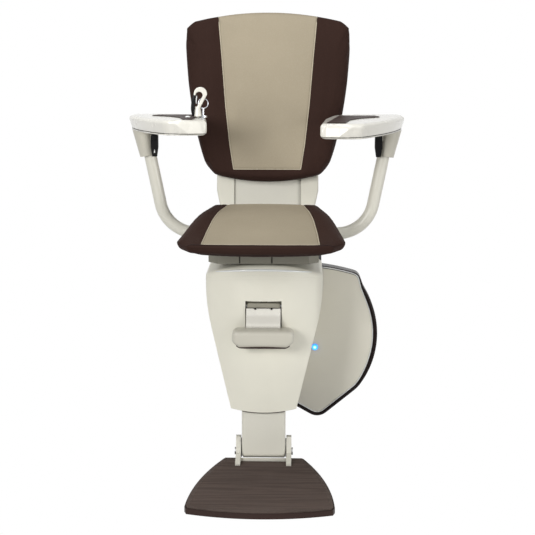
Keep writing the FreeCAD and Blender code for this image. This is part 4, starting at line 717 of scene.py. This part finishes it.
def casing_arch():
    """Casing and cap with the arched top edge."""
    for node in ("front_cover", "top_cover"):
        low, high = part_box(node)
        mesh = bpy.data.meshes.new(node + "_arched")
        cut = bmesh.new()
        cut.from_mesh(NODES[node].data)
        bmesh.ops.remove_doubles(cut, verts=cut.verts, dist=0.000001)
        for axis, first, last, count in ((0, low.x, high.x, 25), (1, low.y, -0.15, 12), (2, 0.165, high.z, 12)):
            normal = [float(axis == i) for i in range(3)]
            for place in np.linspace(first, last, count + 2)[1:-1]:
                spot = [float(place) * value for value in normal]
                bmesh.ops.bisect_plane(cut, geom=cut.verts[:] + cut.edges[:] + cut.faces[:], dist=0.0000001,
                                       plane_co=spot, plane_no=normal)
        bmesh.ops.triangulate(cut, faces=cut.faces)
        cut.to_mesh(mesh)
        cut.free()
        shape = made(node + "_arched", mesh, MATERIALS["ivory_cover"])
        keep_normals(mesh, NODES[node].data)
        move_points(shape, arched(points_of(shape)))
        fitted(shape, "chassis", "ivory_cover", node)


def cap_lip_highlight():
    """Rounded ridge that follows the arched top of the casing, brighter than the casing as a painted highlight.
    """
    tree = BVHTree.FromObject(NODES["top_cover"], bpy.context.evaluated_depsgraph_get())
    low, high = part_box("top_cover")
    line = []
    for x in np.linspace(-0.098, 0.098, 40):
        level = high.z - LIP_DROP
        hit = tree.ray_cast(Vector((x, low.y - 0.05, level)), Vector((0, 1, 0)))[0]
        line.append((hit.x, hit.y + 0.0012, hit.z))
    line = [Vector(spot) for spot in arched(np.array(line))]
    share = [0.25 + 0.75 * math.sin(math.pi * (i + 0.5) / 40) ** 0.5 for i in range(40)]
    # pale_button colour on the ridge: painted highlight
    fitted(tube("cap_lip_highlight", line, 0.0028, MATERIALS["pale_button"], share), "chassis", "ivory_grip")


def joint_filler():
    """Thin ivory skin that closes the joint between the casing and its top cover."""
    graph = bpy.context.evaluated_depsgraph_get()
    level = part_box("top_cover")[0].z
    low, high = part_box("front_cover")
    middle = (low + high) / 2
    count, rows, faces = 240, [], []
    for node, shift in (("front_cover", -0.004), ("front_cover", -0.0018), ("top_cover", 0.0015),
                        ("top_cover", 0.0035)):
        tree = BVHTree.FromObject(NODES[node], graph)
        for step in range(count):
            turn = 2 * math.pi * step / count
            out = Vector((math.cos(turn), math.sin(turn), 0))
            centre = Vector((0, middle.y, level + shift))
            hit = tree.ray_cast(centre + out * 0.5, -out)[0]
            rows.append(hit + out * 0.00012)
    for row in range(3):
        for step in range(count):
            ahead = (step + 1) % count
            faces.append((row * count + step, row * count + ahead, (row + 1) * count + ahead,
                          (row + 1) * count + step))
    mesh = bpy.data.meshes.new("joint_filler")
    mesh.from_pydata(rows, [], faces)
    skin = made("joint_filler", mesh, SKIN)
    thick = skin.modifiers.new("thick", "SOLIDIFY")
    thick.thickness = 0.0004
    thick.offset = -1
    settled(skin).data.set_sharp_from_angle(angle=math.radians(35))
    move_points(skin, arched(points_of(skin)))
    fitted(skin, "chassis", "ivory_cover")


def hem_gap_shade():
    """Dark brown tube under the casing's hem, in front of the leg, as painted shade of the gap there."""
    tree = BVHTree.FromObject(NODES["front_cover"], bpy.context.evaluated_depsgraph_get())
    low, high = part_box("front_cover")
    line = []
    for x in np.linspace(-0.044, 0.044, 24):
        front = tree.ray_cast(Vector((x, low.y - 0.1, low.z + 0.03)), Vector((0, 1, 0)))[0]
        hit = tree.ray_cast(Vector((x, front.y + 0.0016, low.z - 0.05)), Vector((0, 0, 1)))[0]
        line.append(hit + Vector((0, 0, -0.0006)))
    fitted(tube("hem_gap_shade", line, 0.0013, MATERIALS["brown_plastic"]), "chassis", "brown_plastic")


def cover_rim():
    """Rounded dark bead round the side cover, thickest at the outer edge, and a pale line inside it as a
    painted highlight on the cover's edge.
    """
    low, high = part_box("side_cover_trim")
    loop = sections(NODES["side_cover_trim"].data, (0, low.y + 0.0015, 0), (0, 1, 0))[0]
    even = spaced(loop, 160)
    radii = []
    for point in even:
        side = ease(point.x, 0.16, 0.24)
        foot = ease(-point.z, -0.10, 0.02)
        radii.append(float(0.0012 + 0.0036 * max(side * ease(-point.z, -0.20, -0.13), foot * 0.8)))
    inset = np.array(radii) * 0.85
    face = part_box("side_cover")[0].y
    middle = [Vector((point.x, face + 0.0004, point.z)) for point in spaced(even, 160, inset, (0, 1, 0))]
    share = [radius / 0.005 for radius in radii]
    bead = tube("side_cover_bead", middle, 0.005, MATERIALS["dark_trim"], share, closed=True)
    fitted(bead, "chassis", "dark_trim")
    # pale line: painted highlight on the cover's rounded edge
    inner = spaced(even, 160, np.array(radii) * 1.9 + 0.0006, (0, 1, 0))
    inner = [Vector((point.x, face - 0.0002, point.z)) for point in inner]
    pale = tube("side_cover_highlight_line", inner, 0.0013, MATERIALS["pale_button"], closed=True)
    fitted(pale, "chassis", "ivory_grip")


def plate_seams():
    """Dark tubes on the front edge of the swivel plate, as painted shade of its upright seams."""
    low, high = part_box("swivel_plate")
    tree = BVHTree.FromObject(NODES["swivel_plate"], bpy.context.evaluated_depsgraph_get())
    for side, x in (("left", -0.0475), ("right", 0.0175)):
        line = []
        for z in np.linspace(low.z + 0.001, low.z + 0.018, 10):
            hit = tree.ray_cast(Vector((x, low.y - 0.1, z)), Vector((0, 1, 0)))[0]
            if hit is not None and hit.y < low.y + 0.003:
                line.append(hit)
        seam = tube("swivel_plate_seam_" + side, line, 0.0011, SEAM_SHADE)
        fitted(seam, "seat_carrier", "ivory_paint")


# ------------------------------------------------------------------------------ lever
def lever_tab():
    """Scooped face of the lever's strap, with two latch notches in its top edge; dark tubes along that edge and
    in the notches are painted shade.
    """
    wide, tall = 24, 18
    rows = []
    for row in range(tall + 1):
        z = 0.1190 + 0.0380 * row / tall
        step_out = 0.013 * float(ease(-z, -0.146, -0.122))
        for column in range(wide + 1):
            x = -0.0350 + 0.0700 * column / wide
            notch = max(0.0, 1 - (abs(abs(x) - 0.0165) / 0.0024) ** 4) * ease(z, 0.1535, 0.1545)
            scoop = 0.0012 * math.sin(math.pi * column / wide) * float(ease(z, 0.126, 0.15))
            rows.append((x, -0.3447 - step_out + scoop + 0.0016 * float(notch), z))
    faces = []
    for row in range(tall):
        for column in range(wide):
            first = row * (wide + 1) + column
            faces.append((first, first + 1, first + wide + 2, first + wide + 1))
    mesh = bpy.data.meshes.new("lever_tab")
    mesh.from_pydata(rows, [], faces)
    tab = made("lever_tab", mesh, MATERIALS["ivory_grip"])
    step = tab.modifiers.new("thick", "SOLIDIFY")
    step.thickness = 0.0012
    step.offset = -1
    settled(tab).data.set_sharp_from_angle(angle=math.radians(35))
    fitted(tab, "lever", "ivory_cover")
    # dark tubes: painted shade along the tab's top edge and in its notches
    edge = [Vector((x, -0.3446, 0.1572)) for x in np.linspace(-0.0345, 0.0345, 12)]
    fitted(tube("lever_tab_edge", edge, 0.0007, SEAM_SHADE), "lever", "ivory_cover")
    for side in (-1, 1):
        spots = [Vector((side * 0.0165 + x, -0.3446, 0.1552)) for x in np.linspace(-0.0016, 0.0016, 6)]
        name = "lever_notch_" + ("right" if side > 0 else "left")
        fitted(tube(name, spots, 0.0013, SEAM_SHADE), "lever", "ivory_cover")


def lever_grip():
    """Soft-edged pad of the lever in darker ivory as painted shade, with a dark brown tube under its front as
    painted shade.
    """
    pad = remeshed("lever_pad_shell", "lever_pad", 0.0016, PAD_PAINTED_SHADE)
    smoothed(pad, 0.6, 6)
    points = points_of(pad)
    front, back = points[:, 1].min(), points[:, 1].max()
    fall = (points[:, 2].max() - points[:, 2]) / (points[:, 2].max() - points[:, 2].min())
    points[:, 1] += 0.004 * fall ** 2 * ease(-points[:, 1], -back + 0.004, -front)
    spread = np.abs(points[:, 0] - (points[:, 0].min() + points[:, 0].max()) / 2)
    spread /= spread.max()
    points[:, 2] += fall ** 2 * (0.0055 * spread ** 2 - 0.0025)
    move_points(pad, points)
    fitted(pad, "lever", "ivory_grip", "lever_pad")
    low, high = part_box("lever_pad")
    tree = BVHTree.FromObject(pad, bpy.context.evaluated_depsgraph_get())
    line = []
    for x in np.linspace(low.x + 0.009, high.x - 0.009, 30):
        hit = tree.ray_cast(Vector((x, low.y + 0.007, low.z - 0.05)), Vector((0, 0, 1)))[0]
        if hit is not None:
            line.append(hit + Vector((0, 0, -0.0004)))
    # dark brown tube under the pad's front: painted shade
    radii = [0.35 + 0.65 * math.sin(math.pi * (i + 1) / (len(line) + 1)) for i in range(len(line))]
    fitted(tube("lever_pad_underside_shade", line, 0.0026, MATERIALS["brown_plastic"], radii), "lever", "brown_plastic")


# ------------------------------------------------------------------------------ armrests
ARM_TOP = 0.532
ARM_HINGE_Y = -0.092
ARM_TILT = math.radians(1.5)
CREASE_AT = (0.112, 0.147, 0.153, 0.167, 0.177, 0.195, 0.297)
CREASE_DROP = (0.034, 0.0285, 0.0225, 0.0125, 0.0045, 0.0030, 0.0055)


def opened(shell):
    """Cuts the function button's well into the armrest's skin."""
    low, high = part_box("function_button")
    room = Vector((0.0006, 0.0006, 0.002))
    mesh = bpy.data.meshes.new("button_well")
    shape = bmesh.new()
    bmesh.ops.create_cube(shape, size=1.0)
    bmesh.ops.scale(shape, vec=high - low + 2 * room, verts=shape.verts)
    bmesh.ops.translate(shape, vec=(low + high) / 2, verts=shape.verts)
    shape.to_mesh(mesh)
    shape.free()
    well = made("button_well", mesh, MATERIALS["ivory_grip"])
    cut = shell.modifiers.new("well", "BOOLEAN")
    cut.operation = "DIFFERENCE"
    cut.object = well
    settled(shell)
    bpy.data.objects.remove(well)


def armrest_shell(side, tilt):
    """Armrest with a creased outer face: leaning in below the crease, rolling over above it."""
    node = "armrest_" + side
    shell = remeshed(node + "_shell", node, 0.0021, MATERIALS["ivory_grip"])
    if side == "left":
        opened(shell)
    points = points_of(shell)
    normals = np.empty(points.size)
    shell.data.vertices.foreach_get("normal", normals)
    normals = normals.reshape(-1, 3)
    sign = -1 if side == "left" else 1
    outer = ease(np.maximum(-normals[:, 1], normals[:, 0] * sign), 0.1, 0.7)
    flat = np.column_stack((normals[:, 0], normals[:, 1], np.zeros(len(points)))) * outer[:, None]
    top = ARM_TOP + np.tan(tilt) * (ARM_HINGE_Y - points[:, 1])
    drop = top - points[:, 2]
    crease = np.interp(np.abs(points[:, 0]), CREASE_AT, CREASE_DROP)
    below = np.maximum(drop - crease, 0.0)
    above = np.maximum(crease - drop, 0.0)
    points -= flat * (0.30 * below + 0.24 * above)[:, None]
    move_points(shell, points)
    smoothed(shell, 0.3, 1)
    fitted(shell, "arm_" + side, "ivory_grip", node)
    low = min(vertex.co.z for vertex in shell.data.vertices)
    lean = (0, math.sin(tilt), math.cos(tilt))
    loop = sections(shell.data, (0, -0.349, low + 0.0035 + math.sin(tilt) * 0.25), lean)[0]
    # dark tube round the armrest's lower edge: painted shade of the parting line
    seam = tube(node + "_seam", spaced(loop, 140), 0.0007, SEAM_SHADE, closed=True)
    fitted(seam, "arm_" + side, "ivory_grip")


def button_dome():
    """Function button with a domed top."""
    dome = remeshed("function_button_dome", "function_button", 0.0005, MATERIALS["pale_button"])
    points = points_of(dome)
    middle = (points.min(axis=0) + points.max(axis=0)) / 2
    reach = (points.max(axis=0) - points.min(axis=0)) / 2
    spread = ((points[:, :2] - middle[:2]) / reach[:2]) ** 2
    upper = ease(points[:, 2], middle[2], points[:, 2].max())
    points[:, 2] += 0.0022 * upper * np.maximum(0.0, 1 - spread.sum(axis=1))
    move_points(dome, points)
    fitted(dome, "button", "pale_button", "function_button")


def joystick_strip():
    """Black finger strip that closes the front of the joystick's hook, and a pale tube on its inner edge as a
    painted glint.
    """
    path = ((-0.1400, 0.5900), (-0.1425, 0.5830), (-0.1442, 0.5740), (-0.1456, 0.5640),
            (-0.1462, 0.5560), (-0.1455, 0.5480), (-0.1440, 0.5410))
    line = [Vector((x, -0.2680, z)) for x, z in path]
    radii = (0.5, 0.85, 1.0, 1.05, 1.1, 1.0, 0.9)
    fitted(tube("joystick_strip", line, 0.0038, MATERIALS["black_plastic"], radii), "joystick",
           "black_plastic")
    # pale tube: painted glint on the strip's inner edge
    path = ((-0.1372, 0.5820), (-0.1382, 0.5770), (-0.1388, 0.5710), (-0.1386, 0.5660))
    line = [Vector((x, -0.2715, z)) for x, z in path]
    fitted(tube("joystick_strip_glint", line, 0.0013, MATERIALS["pale_button"], (0.4, 1, 1, 0.4)),
           "joystick", "pale_button")


def catch_caps():
    """Black domed pins of the fold catches, and a small pale teardrop on the left one."""
    pins = remeshed("catch_pin_caps", "catch_pins", 0.0008, MATERIALS["black_plastic"])
    smoothed(pins, 0.5, 3)
    fitted(pins, "seat_carrier", "black_plastic", "catch_pins")
    low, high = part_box("catch_left")
    tall = high.z - low.z
    tree = BVHTree.FromObject(NODES["catch_left"], bpy.context.evaluated_depsgraph_get())
    line = []
    for share in (0.17, 0.20, 0.24, 0.28, 0.32):
        spot = Vector(((low.x + high.x) / 2, low.y - 0.05, low.z + share * tall))
        line.append(tree.ray_cast(spot, Vector((0, 1, 0)))[0])
    drop = tube("catch_teardrop_left", line, 0.0016, MATERIALS["pale_button"], (0.8, 1.0, 0.9, 0.6, 0.2))
    fitted(drop, "catch_left_body", "pale_button")


# ------------------------------------------------------------------------------ footrest
def mat_ribs():
    low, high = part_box("footplate_mat")
    tree = BVHTree.FromObject(NODES["footplate_mat"], bpy.context.evaluated_depsgraph_get())
    start, end, count = -0.352, low.y + 0.015, 45
    outline = []
    for share in np.linspace(0, 1, 12):
        y = start + (end - start) * share
        hit = tree.ray_cast(Vector((0.3, y, (low.z + high.z) / 2)), Vector((-1, 0, 0)))[0]
        outline.append((float(share), max(0.0, (hit.x - 0.008) / 0.2)))
    ribs = rib_grower(outline).grow("mat_ribs", bpy.data.meshes.new("mat_ribs"), MATERIALS["brown_mat"],
                                    Count=count, Pitch=(start - end) / count, Radius=0.0011,
                                    Start=(0.0, start, high.z - 0.0002))
    fitted(ribs, "footrest", "brown_mat")


def bracket_gap_shades():
    """Dark strips between the leg and the footrest's brackets, as painted shade of the gaps there."""
    for side in (-1, 1):
        name = "bracket_gap_shade_" + ("right" if side > 0 else "left")
        line = [Vector((side * 0.0466, -0.3290, z)) for z in np.linspace(-0.167, -0.125, 10)]
        fitted(tube(name, line, 0.0008, MATERIALS["brown_plastic"]), "footrest", "brown_plastic")


# ------------------------------------------------------------------------------ stage
def light(name, place, target, size, power, colour=(1, 1, 1)):
    lamp = bpy.data.lights.new(name, "AREA")
    lamp.size = size
    lamp.energy = power
    lamp.color = colour
    thing = bpy.data.objects.new(name, lamp)
    thing.location = place
    thing.rotation_euler = (Vector(target) - Vector(place)).to_track_quat("-Z", "Y").to_euler()
    scene.collection.objects.link(thing)


def lit_white(paint_tree, output, lit):
    """White to the camera and in mirrors, and a shader of its own to every other ray."""
    nodes, links = paint_tree.nodes, paint_tree.links
    path = nodes.new("ShaderNodeLightPath")
    white = nodes.new("ShaderNodeEmission")
    white.inputs["Color"].default_value = (1, 1, 1, 1)
    white.inputs["Strength"].default_value = 1.0
    blend = nodes.new("ShaderNodeMixShader")
    shown = path.outputs["Is Camera Ray"]
    for ray in ("Is Glossy Ray", "Is Transmission Ray"):
        either = nodes.new("ShaderNodeMath")
        either.operation = "MAXIMUM"
        links.new(shown, either.inputs[0])
        links.new(path.outputs[ray], either.inputs[1])
        shown = either.outputs[0]
    links.new(shown, blend.inputs[0])
    links.new(lit, blend.inputs[1])
    links.new(white.outputs[0], blend.inputs[2])
    links.new(blend.outputs[0], output)


def stage():
    scene.view_settings.view_transform = "Standard"
    world = bpy.data.worlds.new("studio")
    scene.world = world
    world.use_nodes = True
    tree = world.node_tree
    tree.nodes.clear()
    dim = tree.nodes.new("ShaderNodeBackground")
    dim.inputs["Color"].default_value = (1.0, 1.0, 1.0, 1)
    dim.inputs["Strength"].default_value = 0.25
    out = tree.nodes.new("ShaderNodeOutputWorld")
    lit_white(tree, out.inputs["Surface"], dim.outputs[0])

    mesh = bpy.data.meshes.new("floor")
    level = cad_box[0].z - 0.06
    mesh.from_pydata([(-6, -6, level), (6, -6, level), (6, 6, level), (-6, 6, level)], [], [(0, 1, 2, 3)])
    paint = Paint("floor_paint")
    paint.set(Base_Color=paint.shade((0.5, 0.5, 0.5, 1), 0.02, paint.noise(3)), Roughness=0.7)
    output = paint.tree.nodes["Material Output"].inputs["Surface"]
    lit_white(paint.tree, output, paint.shader.outputs[0])
    made("floor", mesh, paint.material, smooth=False)

    light("key_light", (-1.45, -2.9, 1.2), (0, -0.3, 0.2), 1.0, 50)
    light("side_light", (2.6, -2.1, 0.45), (0.1, -0.2, 0.3), 1.3, 32)
    light("top_light", (-0.3, -0.9, 2.3), (0, -0.3, 0.3), 1.2, 18)


def camera():
    lens = bpy.data.cameras.new("camera")
    lens.sensor_width = 36
    lens.lens = 83.3
    lens.clip_start, lens.clip_end = 0.05, 60
    eye = bpy.data.objects.new("camera", lens)
    eye.location = (0.077, -2.800, 0.7326)
    eye.rotation_euler = (math.radians(90 - 11.3), 0, math.radians(1.6))
    scene.collection.objects.link(eye)
    scene.camera = eye


camera()
stage()
back_piping(back_cushion())
seat_piping(seat_cushion())
pan_edge()
cap_lip_highlight()
joint_filler()
hem_gap_shade()
casing_arch()
cover_rim()
plate_seams()
lever_tab()
lever_grip()
armrest_shell("left", ARM_TILT)
armrest_shell("right", 0.0)
button_dome()
joystick_strip()
catch_caps()
mat_ribs()
bracket_gap_shades()
